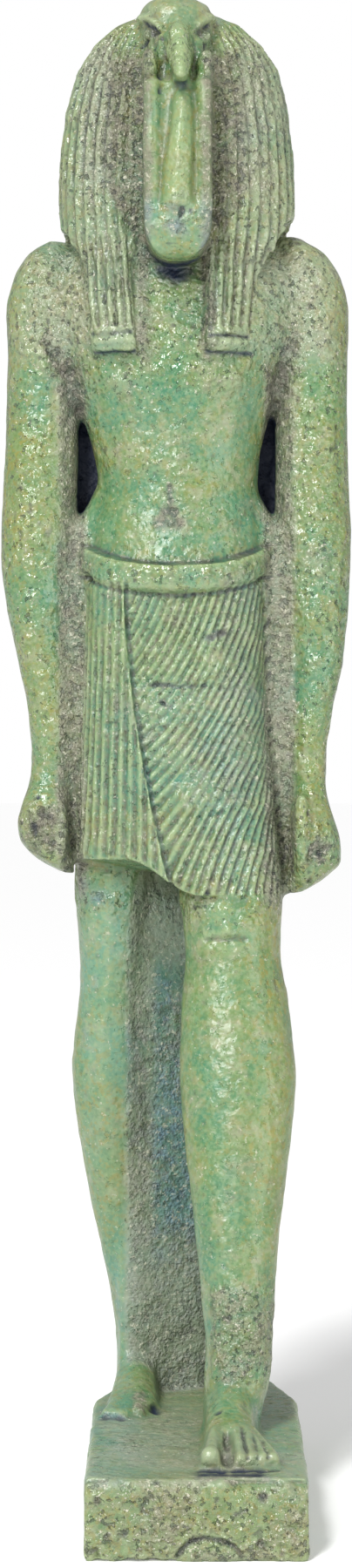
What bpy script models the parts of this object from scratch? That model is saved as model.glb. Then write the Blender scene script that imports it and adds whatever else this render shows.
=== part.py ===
"""Striding statue of an ibis-headed god, moulded in one piece with its base and back column.

Metres, +Z up. The figure looks along -Y and stands on a low base whose underside is at z = 0.
The base and the back column have sizes of their own. The figure keeps its pose, proportions and
carving as shares of its own height: UNIT is one such share, about a millimetre.
Heights of the figure are counted from the top of the base.
"""

import math
from dataclasses import dataclass

import bmesh
import bpy
from mathutils import Vector

# Driving dimensions
FIGURE_HEIGHT = 0.1314
BASE_WIDTH = 0.0189
BASE_DEPTH = 0.0434
BASE_HEIGHT = 0.0068
BASE_SHIFT = 0.0017
BASE_EDGE_WEAR = 0.0004
REAR_SPREAD = 0.00025
REAR_TAPER_LENGTH = 0.0125
REAR_TAPER_LEFT = 0.0045
REAR_TAPER_RIGHT = 0.0028
COLUMN_WIDTH = 0.0074
COLUMN_THICKNESS = 0.0053
COLUMN_EDGE_WEAR = 0.0004

# Proportions of the figure, in shares of its height
SHARES_IN_HEIGHT = 131.4
UNIT = FIGURE_HEIGHT / SHARES_IN_HEIGHT
COLUMN_TOP = 109.0
WIG_STRANDS = 54
WIG_STRAND_DEPTH = 0.3
LAPPET_STRANDS = 5
PLEATS_ROUND_KILT = 60
PLEAT_DEPTH = 0.34
PLEAT_TURN = 0.30
WRAP_PROUD = 0.46
WRAP_DROP = 0.1
BELT_DIP = 2.3
BELT_HEIGHT = 2.7
BELT_PROUD = 0.38
TOE_LIFT = 0.28
SUNK = 0.5

# Colour and roughness of the glazed body
FAIENCE_COLOUR = (0.33, 0.47, 0.32, 1.0)
FAIENCE_ROUGHNESS = 0.45


@dataclass(frozen=True)
class Section:
    """A level cut through a limb or the body: where its middle is and how far it reaches."""

    z: float
    x: float
    y: float
    half: float
    front: float
    back: float
    power: float = 2.2


TORSO = (
    Section(74.0, -0.1, 11.4, 8.3, 6.3, 5.2),
    Section(78.6, 0.0, 11.4, 8.5, 6.3, 5.2),
    Section(81.8, 0.1, 11.4, 8.35, 5.9, 5.0),
    Section(85.2, 0.25, 11.4, 7.5, 5.6, 4.8),
    Section(88.8, 0.1, 11.4, 7.9, 5.7, 4.9),
    Section(91.4, 0.0, 11.5, 8.55, 5.9, 5.0),
    Section(93.8, 0.0, 11.5, 9.4, 6.1, 5.0),
    Section(96.2, 0.0, 11.6, 10.4, 6.3, 5.1),
    Section(98.4, 0.0, 11.7, 11.3, 6.4, 5.1),
    Section(101.0, 0.0, 11.8, 12.2, 6.4, 5.1),
    Section(104.0, 0.0, 12.0, 12.8, 6.2, 5.0),
    Section(107.2, 0.0, 12.2, 12.4, 5.2, 4.6),
    Section(109.1, 0.0, 12.4, 10.4, 3.6, 3.6),
)

REAR_ARM = (
    Section(57.0, -11.9, 10.0, 1.95, 2.2, 2.3),
    Section(61.1, -11.85, 10.2, 1.8, 2.1, 2.2),
    Section(66.1, -12.15, 10.4, 2.15, 2.4, 2.5),
    Section(69.4, -12.5, 10.6, 2.45, 2.7, 2.8),
    Section(74.3, -13.1, 10.9, 3.0, 3.2, 3.2),
    Section(78.0, -13.15, 11.2, 3.5, 3.5, 3.5),
    Section(81.5, -13.05, 11.4, 3.65, 3.6, 3.6),
    Section(85.9, -12.85, 11.7, 3.65, 3.6, 3.6),
    Section(92.5, -12.65, 11.9, 3.55, 3.6, 3.6),
    Section(99.1, -12.5, 12.0, 3.6, 4.0, 3.8),
    Section(103.2, -12.5, 12.0, 3.75, 4.1, 3.9),
    Section(106.2, -12.1, 12.0, 3.3, 3.7, 3.6),
    Section(108.2, -11.8, 12.0, 2.3, 2.6, 2.6),
    Section(109.2, -11.4, 12.0, 1.0, 1.2, 1.2),
)

FRONT_ARM = (
    Section(57.0, 12.45, 10.0, 1.75, 2.2, 2.3),
    Section(61.1, 12.55, 10.2, 1.75, 2.1, 2.2),
    Section(66.1, 13.0, 10.4, 2.15, 2.4, 2.5),
    Section(69.4, 13.4, 10.6, 2.5, 2.7, 2.8),
    Section(74.3, 13.4, 10.9, 3.0, 3.2, 3.2),
    Section(80.9, 13.1, 11.4, 3.65, 3.6, 3.6),
    Section(85.9, 12.9, 11.7, 3.6, 3.6, 3.6),
    Section(92.5, 12.8, 11.9, 3.55, 3.6, 3.6),
    Section(99.1, 12.8, 12.0, 3.6, 4.0, 3.8),
    Section(103.2, 12.75, 12.0, 3.75, 4.1, 3.9),
    Section(106.2, 12.2, 12.0, 3.45, 3.7, 3.6),
    Section(108.4, 11.4, 12.0, 2.6, 2.7, 2.7),
    Section(109.6, 10.4, 12.0, 1.2, 1.3, 1.3),
)

REAR_FIST = (
    Section(49.4, -10.0, 9.4, 0.5, 1.6, 1.8),
    Section(50.3, -10.9, 9.4, 1.25, 2.6, 2.8),
    Section(51.2, -11.75, 9.4, 1.9, 3.0, 3.2),
    Section(52.4, -12.35, 9.4, 2.4, 3.2, 3.3, 2.5),
    Section(54.2, -12.6, 9.4, 2.45, 3.3, 3.4, 2.6),
    Section(56.4, -12.3, 9.6, 2.15, 2.9, 3.0, 2.5),
    Section(58.2, -12.0, 10.0, 1.7, 2.0, 2.1),
)

FRONT_FIST = (
    Section(47.6, 10.9, 9.4, 0.9, 1.8, 1.9),
    Section(48.7, 11.9, 9.4, 1.9, 2.8, 2.9),
    Section(50.3, 13.1, 9.4, 2.55, 3.3, 3.3, 2.5),
    Section(52.6, 13.1, 9.4, 2.4, 3.3, 3.4, 2.6),
    Section(55.2, 12.7, 9.6, 2.0, 2.9, 3.0, 2.5),
    Section(58.0, 12.5, 10.0, 1.5, 2.0, 2.1),
)

REAR_LEG = (
    Section(-SUNK, -3.6, 14.1, 2.1, 2.6, 3.1),
    Section(2.6, -3.6, 14.1, 2.1, 2.5, 2.9),
    Section(6.0, -3.75, 14.1, 2.1, 2.4, 2.8),
    Section(10.4, -4.4, 14.0, 2.15, 2.4, 2.8),
    Section(16.1, -5.15, 13.8, 2.65, 2.8, 3.4),
    Section(21.1, -5.7, 13.7, 3.1, 3.2, 4.0),
    Section(26.1, -6.15, 13.6, 3.55, 3.6, 4.4),
    Section(31.1, -6.4, 13.5, 3.7, 3.8, 4.5),
    Section(37.6, -6.25, 13.4, 3.05, 3.7, 4.0),
    Section(41.0, -6.2, 13.3, 3.0, 3.8, 3.8),
    Section(45.2, -6.25, 13.2, 3.35, 4.2, 3.8),
    Section(49.0, -6.0, 13.1, 3.7, 4.3, 4.0),
    Section(56.0, -5.0, 12.6, 3.9, 4.4, 4.2),
)

FRONT_LEG = (
    Section(-SUNK, 4.85, -3.7, 2.5, 2.9, 3.2),
    Section(2.0, 5.05, -3.4, 2.7, 3.1, 3.2),
    Section(4.2, 5.45, -2.9, 3.0, 2.9, 3.1),
    Section(7.0, 5.7, -2.4, 3.1, 2.8, 3.1),
    Section(11.8, 5.6, -1.3, 3.4, 3.0, 3.2),
    Section(18.3, 5.55, 0.2, 4.05, 3.4, 3.9),
    Section(25.9, 5.65, 2.1, 5.1, 3.9, 4.8),
    Section(31.3, 5.7, 3.3, 5.5, 4.2, 5.2),
    Section(37.6, 5.45, 4.9, 5.1, 4.2, 4.8),
    Section(41.6, 5.3, 5.9, 4.45, 4.3, 4.4),
    Section(44.8, 5.2, 6.7, 4.7, 4.7, 4.4),
    Section(47.0, 5.1, 7.3, 4.95, 4.8, 4.6),
    Section(50.0, 4.9, 8.0, 4.6, 4.8, 4.6),
    Section(56.0, 4.1, 9.4, 4.4, 4.6, 4.8),
)

WIG = (
    Section(102.6, 0.1, 9.8, 10.5, 5.4, 7.3, 2.5),
    Section(110.4, 0.1, 9.8, 11.05, 5.6, 7.5, 2.5),
    Section(112.7, 0.1, 9.8, 11.2, 5.6, 7.5, 2.5),
    Section(116.8, 0.05, 9.8, 11.05, 5.5, 7.6, 2.4),
    Section(120.0, 0.1, 9.8, 10.75, 5.2, 7.7, 2.3),
    Section(123.3, 0.15, 9.9, 10.05, 4.8, 7.6, 2.2),
    Section(125.2, 0.2, 10.0, 9.45, 4.4, 7.3, 2.1),
    Section(126.8, 0.2, 10.1, 8.5, 3.9, 6.8, 2.1),
    Section(128.4, 0.1, 10.2, 7.0, 3.2, 5.8, 2.1),
    Section(129.75, 0.35, 10.3, 5.1, 2.4, 4.4, 2.1),
    Section(130.4, 0.2, 10.4, 3.2, 1.3, 2.4, 2.0),
)

HEAD = (
    Section(121.0, 0.1, 8.0, 2.9, 5.4, 3.0, 2.4),
    Section(123.4, 0.1, 8.0, 3.1, 5.5, 3.5, 2.3),
    Section(125.8, 0.1, 8.0, 3.2, 5.4, 4.0, 2.2),
    Section(127.8, 0.05, 8.0, 3.4, 4.9, 4.2, 2.1),
    Section(129.6, 0.0, 8.0, 3.5, 4.1, 4.0, 2.1),
    Section(130.4, 0.0, 8.1, 3.15, 3.3, 3.4, 2.1),
    Section(130.9, -0.15, 8.1, 2.4, 2.6, 2.8, 2.0),
    Section(131.4, -0.1, 8.2, 0.8, 1.0, 1.1, 2.0),
)

BILL_STUMP = (
    Section(121.7, 0.4, 3.4, 0.5, 3.6, 1.5, 2.0),
    Section(121.9, 0.4, 3.4, 0.82, 4.3, 1.5, 2.0),
    Section(122.7, 0.42, 3.5, 0.88, 4.3, 1.5, 2.0),
    Section(124.0, 0.35, 3.8, 1.0, 3.9, 1.6, 2.1),
    Section(125.6, 0.27, 4.4, 1.2, 3.5, 1.8, 2.1),
    Section(127.2, 0.22, 5.2, 1.35, 3.0, 1.8, 2.1),
    Section(128.8, 0.15, 6.2, 1.7, 2.75, 1.6, 2.1),
    Section(130.4, 0.1, 7.3, 1.5, 2.1, 1.4, 2.0),
)

SUPPORT_RIB = (
    Section(110.2, 0.0, 3.0, 1.5, 2.2, 1.0, 2.8),
    Section(110.7, 0.0, 3.0, 1.75, 2.7, 1.0, 2.8),
    Section(115.0, 0.3, 3.0, 1.55, 2.85, 1.0, 2.6),
    Section(117.4, 0.55, 3.0, 1.3, 2.8, 1.0, 2.4),
    Section(120.4, 0.6, 3.1, 1.05, 2.6, 1.0, 2.3),
    Section(121.5, 0.55, 3.6, 0.8, 2.3, 1.0, 2.2),
)

KILT = (
    Section(0.0, 0.5, 11.3, 9.75, 7.9, 5.3, 3.6),
    Section(0.25, 0.35, 11.3, 9.2, 7.3, 5.4, 3.4),
    Section(0.5, 0.2, 11.3, 8.8, 6.9, 5.5, 3.2),
    Section(0.75, 0.1, 11.3, 8.55, 6.6, 5.4, 3.0),
    Section(1.0, 0.1, 11.3, 8.4, 6.5, 5.2, 2.8),
)
KILT_TOP = 76.8
HEM_REAR_SIDE = 50.9
HEM_FRONT_SIDE = 47.5
KNEE_PUSH = 1.3


def smooth(share):
    """Ease from 0 to 1."""
    share = min(max(share, 0.0), 1.0)
    return share * share * (3.0 - 2.0 * share)


def between(sections, z):
    """The section at height z, worked out on a smooth curve through the ones given."""
    last = len(sections) - 1
    k = 0
    while k < last - 1 and sections[k + 1].z < z:
        k += 1
    near = [sections[min(max(k + i, 0), last)] for i in (-1, 0, 1, 2)]
    t = (z - near[1].z) / (near[2].z - near[1].z)
    t = min(max(t, 0.0), 1.0)

    def eased(name):
        a, b, c, d = (getattr(s, name) for s in near)
        return b + 0.5 * t * (c - a + t * (2 * a - 5 * b + 4 * c - d + t * (3 * (b - c) + d - a)))

    names = ("x", "y", "half", "front", "back", "power")
    return Section(z, *(eased(name) for name in names))


def oval_point(section, turn):
    """Point of a section's rounded outline, turn counted from the front towards +X."""
    angle = 2.0 * math.pi * turn - math.pi / 2.0
    across = math.cos(angle)
    along = math.sin(angle)
    bend = 2.0 / section.power
    depth = section.back if along > 0.0 else section.front
    x = section.x + section.half * math.copysign(abs(across) ** bend, across)
    y = section.y + depth * math.copysign(abs(along) ** bend, along)
    return Vector((x, y, section.z))


def even_ring(section, count, shift=0.0):
    """Points at even steps round a section's outline, each with its outward direction."""
    fine = 240
    outline = [oval_point(section, i / fine) for i in range(fine + 1)]
    walked = [0.0]
    for a, b in zip(outline, outline[1:]):
        walked.append(walked[-1] + (b - a).length)
    ring = []
    for i in range(count):
        target = ((i / count + shift) % 1.0) * walked[-1]
        k = 0
        while walked[k + 1] < target:
            k += 1
        step = outline[k + 1] - outline[k]
        point = outline[k] + step * ((target - walked[k]) / (walked[k + 1] - walked[k]))
        ring.append((point, Vector((step.y, -step.x, 0.0)).normalized()))
    return ring


def in_place(point):
    """From shares of the figure's height above the base to metres above the ground."""
    back = BASE_DEPTH / 2.0
    return Vector((point.x * UNIT, back + (point.y - 21.7) * UNIT, BASE_HEIGHT + point.z * UNIT))


def solid(name, rings, ends="fan"):
    """Closed skin through rings of equal count.

    Its ends are fanned round their middles, filled flat, or, where the second half of a ring runs back
    along the first, bridged across as a strip.
    """
    shape = bmesh.new()
    rows = [[shape.verts.new(in_place(point)) for point in ring] for ring in rings]
    count = len(rows[0])
    for low, high in zip(rows, rows[1:]):
        for i in range(count):
            j = (i + 1) % count
            shape.faces.new((low[i], low[j], high[j], high[i]))
    for row in (rows[0], rows[-1]):
        if ends == "fan":
            tip = shape.verts.new(sum((v.co for v in row), Vector()) / count)
            for i in range(count):
                shape.faces.new((row[i], row[(i + 1) % count], tip))
        elif ends == "strip":
            for i in range(count // 2 - 1):
                shape.faces.new((row[i], row[i + 1], row[count - 2 - i], row[count - 1 - i]))
        else:
            shape.faces.new(row)
    bmesh.ops.triangulate(shape, faces=[f for f in shape.faces if len(f.verts) > 4])
    bmesh.ops.recalc_face_normals(shape, faces=shape.faces)
    mesh = bpy.data.meshes.new(name)
    shape.to_mesh(mesh)
    shape.free()
    piece = bpy.data.objects.new(name, mesh)
    bpy.context.scene.collection.objects.link(piece)
    return piece


def limb(name, sections, sides):
    """Smooth limb or body through its sections."""
    rings = [[oval_point(s, i / sides) for i in range(sides)] for s in sections]
    return solid(name, rings)


def torso():
    """Trunk with a gently swelling chest."""
    sides = 20
    rings = []
    for section in TORSO:
        ring = []
        for i in range(sides):
            point = oval_point(section, i / sides)
            if point.y < section.y:
                level = math.exp(-((section.z - 96.2) / 3.4) ** 2)
                point.y -= 0.5 * level * math.exp(-((abs(point.x) - 4.9) / 2.6) ** 2)
            ring.append(point)
        rings.append(ring)
    return solid("torso", rings)


def ball(name, centre, radii, sides=10, rows=6):
    """Rounded lump with the given middle and radii."""
    rings = []
    for k in range(1, rows):
        lift = -math.cos(math.pi * k / rows)
        wide = math.sin(math.pi * k / rows)
        level = Section(centre[2] + radii[2] * lift, centre[0], centre[1], radii[0] * wide,
                        radii[1] * wide, radii[1] * wide, 2.0)
        rings.append([oval_point(level, i / sides) for i in range(sides)])
    return solid(name, rings)


def block(name, outline, low, high):
    """Upright prism over an outline, in the figure's shares."""
    rings = [[Vector((x, y, z)) for x, y in outline] for z in (low, high)]
    return solid(name, rings)


def wig_edge(point):
    """Height of the wig's lower edge at a point of its outline."""
    corner = 111.0 if point.x > 0.0 else 110.0
    if point.y < 9.8:
        aside = min(max((abs(point.x) - 8.0) / 3.0, 0.0), 1.0)
        return 103.6 + (corner - 103.6) * aside
    behind = smooth((point.y - 11.5) / 4.5)
    return corner + (102.8 - corner) * behind


def wig():
    """Heavy wig: strands run from the crown to the lower edge, which is deeper behind and in front."""
    levels = (0.0, 0.12, 0.32, 0.54, 0.72, 0.85, 0.94, 1.0)
    count = 2 * WIG_STRANDS
    top = WIG[-1].z
    edges = [wig_edge(point) for point, out in even_ring(between(WIG, 111.0), count)]
    rings = []
    for level in levels:
        columns = []
        for i in range(count):
            z = edges[i] + (top - edges[i]) * level
            point, out = even_ring(between(WIG, z), count)[i]
            facing = smooth((abs(point.x) - 3.6) / 1.2) if point.y < 9.0 else 1.0
            depth = WIG_STRAND_DEPTH * facing * min(1.0, 3.0 * (1.0 - level))
            hollow = (1.0 - facing) * (0.5 * (1.0 - level) + 1.4 * smooth((111.0 - z) / 6.0))
            if point.y < 9.8:
                hollow += 1.5 * smooth((108.0 - z) / 4.4)
            columns.append(point - out * (depth * (i % 2) + hollow))
        rings.append(columns)
    return solid("wig", rings)


def lappet(name, side, top, bottom):
    """Front lappet of the wig: strands side by side, closed by two bands at its end.

    top and bottom give the inner and outer edges, counted from the figure's middle.
    """
    levels = ((0.0, "end"), (0.03, "band"), (0.1, "band"), (0.115, "groove"), (0.13, "band"),
              (0.175, "band"), (0.19, "strands"), (0.6, "strands"), (1.0, "strands"))
    low, high = 97.7, 111.5
    rings = []
    for level, kind in levels:
        inner = bottom[0] + (top[0] - bottom[0]) * level
        outer = bottom[1] + (top[1] - bottom[1]) * level
        z = low + (high - low) * level
        front = []
        count = 2 * LAPPET_STRANDS
        for k in range(count + 1):
            share = k / count
            x = side * (inner + (outer - inner) * share)
            sweep = 1.5 * share * share
            dent = 0.0
            if kind == "strands":
                dent = 0.28 * ((k + 1) % 2)
            if kind in ("groove", "end"):
                dent = 0.25
            if kind == "band":
                dent = -0.08
            edge = 0.35 if k in (0, count) else 0.0
            sink = 0.7 * level ** 3
            front.append(Vector((x, 4.5 + sweep + dent + edge + sink, z)))
        rear = [Vector((front[-1].x, 9.5, z)), Vector((front[0].x, 9.5, z))]
        ring = front + rear
        if side < 0:
            ring.reverse()
        rings.append(ring)
    return solid(name, rings)


def kilt_section(share):
    """Section of the kilt, share 1 at its top and 0 at its hem."""
    return between(KILT, share)


def hang(point, share):
    """Give a point of the kilt its height: the hem is lower on the side of the advanced leg."""
    aside = smooth((point.x + 4.5) / 6.5)
    hem = HEM_REAR_SIDE + (HEM_FRONT_SIDE - HEM_REAR_SIDE) * aside
    point.z = hem + (KILT_TOP - hem) * share
    if point.y < 11.3:
        forward = smooth((11.3 - point.y) / 6.0)
        point.y -= KNEE_PUSH * forward * aside * (1.0 - share) ** 2
        point.y += 1.2 * forward * (1.0 - aside) * (1.0 - share) ** 2
    return point


def kilt():
    """Kilt: its pleats fall slanting across the front towards the rear leg."""
    rows = 7
    count = 2 * PLEATS_ROUND_KILT
    rings = []
    for row in range(rows + 1):
        share = row / rows
        fallen = 1.0 - share
        turned = PLEAT_TURN * (0.5 * fallen + 0.5 * smooth(fallen))
        ring = even_ring(kilt_section(share), count, -turned)
        rings.append([hang(p - out * PLEAT_DEPTH * (i % 2), share) for i, (p, out) in enumerate(ring)])
    return solid("kilt", rings)


def wrap():
    """Outer wrap of the kilt: upright pleats round the rear-leg side and the back, thick inwards."""
    rows = 4
    count = 2 * PLEATS_ROUND_KILT
    first = int(count * 0.27)
    rings = []
    for row in range(rows + 1):
        share = row / rows
        section = kilt_section(share)
        ring = even_ring(section, count)[first:]
        drop = WRAP_DROP * (1.0 - share)
        outer = [hang(p + out * (WRAP_PROUD - PLEAT_DEPTH * (i % 2)), share)
                 for i, (p, out) in enumerate(ring)]
        middle = Vector((section.x, section.y, 0.0))
        inner = [hang(middle + (Vector((p.x, p.y, 0.0)) - middle) * 0.75, share) for p, out in ring]
        inner.reverse()
        rings.append([Vector((p.x, p.y, p.z - drop)) for p in outer + inner])
    return solid("wrap", rings, ends="strip")


def wrap_edge_cutter():
    """What the outer wrap leaves open: all to the right of its curved edge across the front."""
    steps = 8
    edge = []
    for k in range(steps + 1):
        fallen = k / steps
        x = -4.83 + 4.5 * fallen ** 1.75
        edge.append((x, 78.0 - 30.5 * fallen))
    edge = [(-4.83, 90.0)] + edge + [(0.2, 40.0), (14.0, 40.0), (14.0, 90.0)]
    rings = [[Vector((x, y, z)) for x, z in edge] for y in (-8.0, 8.0)]
    return solid("wrap_edge_cutter", rings, ends="flat")


def bill_support():
    """Tongue of faience under the broken bill: raised strips down its sides, rounded below."""
    profile = ((-1.0, 6.0), (-1.0, 0.3), (-0.86, 0.0), (-0.64, 0.05), (-0.5, 0.55), (0.5, 0.55),
               (0.72, 0.05), (0.9, 0.0), (1.0, 0.3), (1.0, 6.0))
    levels = ((106.0, 0.9, 1.3), (106.3, 1.75, 0.8), (106.9, 2.4, 0.4), (107.8, 2.85, 0.15), (109.0, 3.05, 0.0),
              (110.6, 3.15, 0.0), (111.6, 3.15, 0.0), (117.0, 3.15, 0.0), (122.0, 3.1, 0.3), (123.5, 2.2, 3.0))
    rings = []
    for z, half, behind in levels:
        carved = smooth(z - 110.6)
        ring = []
        for share, depth in profile:
            depth = depth if depth > 0.6 else depth * carved
            ring.append(Vector((0.15 + half * share, 1.0 + behind + depth, z)))
        ring.reverse()
        rings.append(ring)
    return solid("bill_support", rings)


def belt():
    """Smooth belt that dips below the navel."""
    sides = 28
    rings = []
    for lift, proud in ((0.0, -0.4), (0.15, BELT_PROUD), (0.9, BELT_PROUD), (1.0, 0.1), (1.06, -0.6)):
        section = Section(0.0, -0.1, 11.35, 8.75 + proud, 6.85 + proud, 5.6 + proud, 2.4)
        ring = []
        for i in range(sides):
            point = oval_point(section, i / sides)
            dip = 0.0
            if point.y < 11.35:
                dip = BELT_DIP * smooth((11.35 - point.y) / 6.85) * (1.0 - (point.x / 12.0) ** 2)
            point.z = 77.7 - dip + BELT_HEIGHT * lift
            ring.append(point)
        rings.append(ring)
    return solid("belt", rings)


def foot_ring(y, x, half, height, low=-SUNK, steps=5):
    """Upright cut across a foot or toe: flat below, arched above in the given number of steps."""
    points = []
    for k in range(steps + 1):
        angle = math.pi * k / steps
        up = math.sin(angle) ** 0.75
        points.append(Vector((x + half * math.cos(angle), y, low + 0.25 + (height - low - 0.25) * up)))
    points.append(Vector((x - half * 0.9, y, low)))
    points.append(Vector((x + half * 0.9, y, low)))
    return points


def foot(name, cuts):
    """Foot through upright cuts, from the heel to the toes."""
    return solid(name, [foot_ring(*cut) for cut in cuts])


def toe(name, x, tip, half, height, root, steps=4):
    """One toe, its rounded tip lifted clear of the base.

    root gives where its tendon fades into the instep: back from the tip, across, and up.
    """
    back, across, up = root
    lift = TOE_LIFT * height
    cuts = (
        (tip + back, across, half * 0.55, up),
        (tip + 1.0, x, half, height),
        (tip + 0.25, x, half * 0.9, height * 0.88, lift * 0.8),
        (tip, x, half * 0.5, height * 0.7, lift),
    )
    return solid(name, [foot_ring(*cut, steps=steps) for cut in cuts])


def front_foot():
    """Foot of the advanced leg, with a wide gap beside the great toe."""
    sole = foot("front_foot", (
        (0.6, 5.0, 1.3, 2.2), (0.0, 5.0, 2.1, 3.2), (-2.0, 5.0, 2.6, 4.6), (-4.5, 4.9, 2.7, 5.2),
        (-7.0, 4.75, 2.5, 4.2), (-10.0, 4.7, 2.45, 3.1), (-12.5, 4.95, 2.8, 2.4), (-15.0, 5.25, 3.05, 1.7),
        (-15.7, 5.2, 2.6, 0.7),
    ))
    gap = ball("toe_gap", (4.42, -15.6, 1.9), (0.52, 3.2, 1.5), 7, 5)
    toes = [toe("great_toe", 2.95, -18.4, 0.95, 1.85, (6.6, 3.3, 2.7))]
    for k in range(4):
        root = (6.6, 4.95 + 0.62 * k, 2.85 - 0.2 * k)
        toes.append(toe(f"front_toe_{k}", 5.4 + 0.99 * k, -18.3 + 0.3 * k, 0.54, 1.6 - 0.08 * k, root))
    return [fuse(sole, [gap], "DIFFERENCE"), *toes]


def rear_foot():
    """Foot of the rear leg: short worn toes, and a hollow where the great toe has gone."""
    sole = foot("rear_foot", (
        (17.4, -3.7, 1.2, 1.8), (16.8, -3.7, 1.8, 2.8), (14.0, -3.7, 2.15, 4.3), (10.5, -3.8, 2.2, 3.8),
        (7.5, -3.9, 2.35, 2.6), (5.0, -4.05, 2.6, 1.7), (3.0, -4.1, 2.6, 1.2), (2.2, -4.1, 2.4, 0.6),
    ))
    hollow = ball("lost_toe", (-1.9, 2.3, 0.75), (0.8, 1.5, 0.75), 7, 4)
    toes = [toe("rear_toe_0", -3.4, 1.2, 0.66, 1.15, (3.6, -3.5, 1.9))]
    for k in range(4):
        root = (3.4, -4.3 - 0.5 * k, 1.45)
        toes.append(toe(f"rear_toe_{k + 1}", -4.5 - 0.66 * k, 0.8 - 0.05 * k, 0.38, 0.95, root, 3))
    return [fuse(sole, [hollow], "DIFFERENCE"), *toes]


def webs():
    """What joins the limbs: behind and between the legs, between arms and kilt, behind the waist gaps."""
    behind = []
    for section in FRONT_LEG[1::2]:
        behind.append(Section(section.z, section.x + 0.15, section.y, section.half * 0.8, 0.5,
                              18.2 - section.y, 6.0))
    low = behind[0]
    behind.insert(0, Section(-SUNK, low.x, low.y, low.half, low.front, low.back, low.power))
    pieces = [limb("leg_web", behind, 14)]
    pieces.append(block("leg_filling", ((-5.4, 10.9), (-3.4, 11.3), (2.2, 13.9), (6.0, 18.3), (-5.4, 18.3)),
                        -SUNK, 55.0))
    for side, low in ((-1, 50.4), (1, 48.9)):
        rings = []
        for x, front, top in ((7.2, 8.9, 86.2), (8.3, 9.0, 83.9), (9.3, 9.1, 82.3), (11.9, 9.3, 81.6)):
            profile = ((front, low), (front, top - 4.0), (front + 0.6, top), (13.4, top + 1.0), (13.4, low))
            rings.append([Vector((side * x, y, z)) for y, z in profile])
        pieces.append(solid(f"hip_web_{side}", rings))
        outline = [(side * 10.6, 14.1), (side * 6.6, 14.4), (side * 6.6, 15.4), (side * 10.6, 14.9)]
        pieces.append(block(f"waist_web_{side}", outline, 80.0, 96.0))
    return pieces


def base():
    """Low base, narrower behind, its edges a little worn."""
    left = BASE_SHIFT - BASE_WIDTH / 2.0
    right = BASE_SHIFT + BASE_WIDTH / 2.0
    front = -BASE_DEPTH / 2.0
    back = BASE_DEPTH / 2.0
    taper = back - REAR_TAPER_LENGTH
    outline = (
        (left, front), (right, front), (right + REAR_SPREAD, taper),
        (right - REAR_TAPER_RIGHT, back), (left + REAR_TAPER_LEFT, back), (left, taper),
    )
    return worn_prism("base", outline, 0.0, BASE_HEIGHT, BASE_EDGE_WEAR)


def worn_prism(name, outline, low, high, wear):
    """Upright prism over an outline in metres, its edges bevelled but for those underneath."""
    shape = bmesh.new()
    ground = [shape.verts.new((x, y, low)) for x, y in outline]
    floor = shape.faces.new(ground)
    raised = bmesh.ops.extrude_face_region(shape, geom=[floor])
    for item in raised["geom"]:
        if isinstance(item, bmesh.types.BMVert):
            item.co.z = high
    bmesh.ops.recalc_face_normals(shape, faces=shape.faces)
    edges = [e for e in shape.edges if max(v.co.z for v in e.verts) > low]
    bmesh.ops.bevel(shape, geom=edges, offset=wear, segments=2, affect="EDGES", profile=0.5)
    mesh = bpy.data.meshes.new(name)
    shape.to_mesh(mesh)
    shape.free()
    piece = bpy.data.objects.new(name, mesh)
    bpy.context.scene.collection.objects.link(piece)
    return piece


def column():
    """Back column from the base to the lower edge of the wig, level with the back of the base."""
    half = COLUMN_WIDTH / 2.0
    back = BASE_DEPTH / 2.0
    front = back - COLUMN_THICKNESS
    outline = ((-half, front), (half, front), (half, back), (-half, back))
    return worn_prism("column", outline, BASE_HEIGHT - SUNK * UNIT, BASE_HEIGHT + COLUMN_TOP * UNIT,
                      COLUMN_EDGE_WEAR)


def fuse(body, others, operation):
    """Join or cut one solid by others in a single exact step, and leave a plain mesh."""
    group = bpy.data.collections.new(body.name + "_others")
    for other in others:
        group.objects.link(other)
    step = body.modifiers.new(operation.lower(), "BOOLEAN")
    step.operation = operation
    step.solver = "EXACT"
    step.operand_type = "COLLECTION"
    step.collection = group
    seen = body.evaluated_get(bpy.context.evaluated_depsgraph_get())
    mesh = bpy.data.meshes.new_from_object(seen)
    body.modifiers.clear()
    body.data = mesh
    for other in others:
        bpy.data.objects.remove(other)
    bpy.data.collections.remove(group)
    return body


def faience():
    """Green glazed faience."""
    material = bpy.data.materials.new("faience")
    material.use_nodes = True
    shader = material.node_tree.nodes["Principled BSDF"]
    shader.inputs["Base Color"].default_value = FAIENCE_COLOUR
    shader.inputs["Roughness"].default_value = FAIENCE_ROUGHNESS
    shader.inputs["Metallic"].default_value = 0.0
    return material


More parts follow.
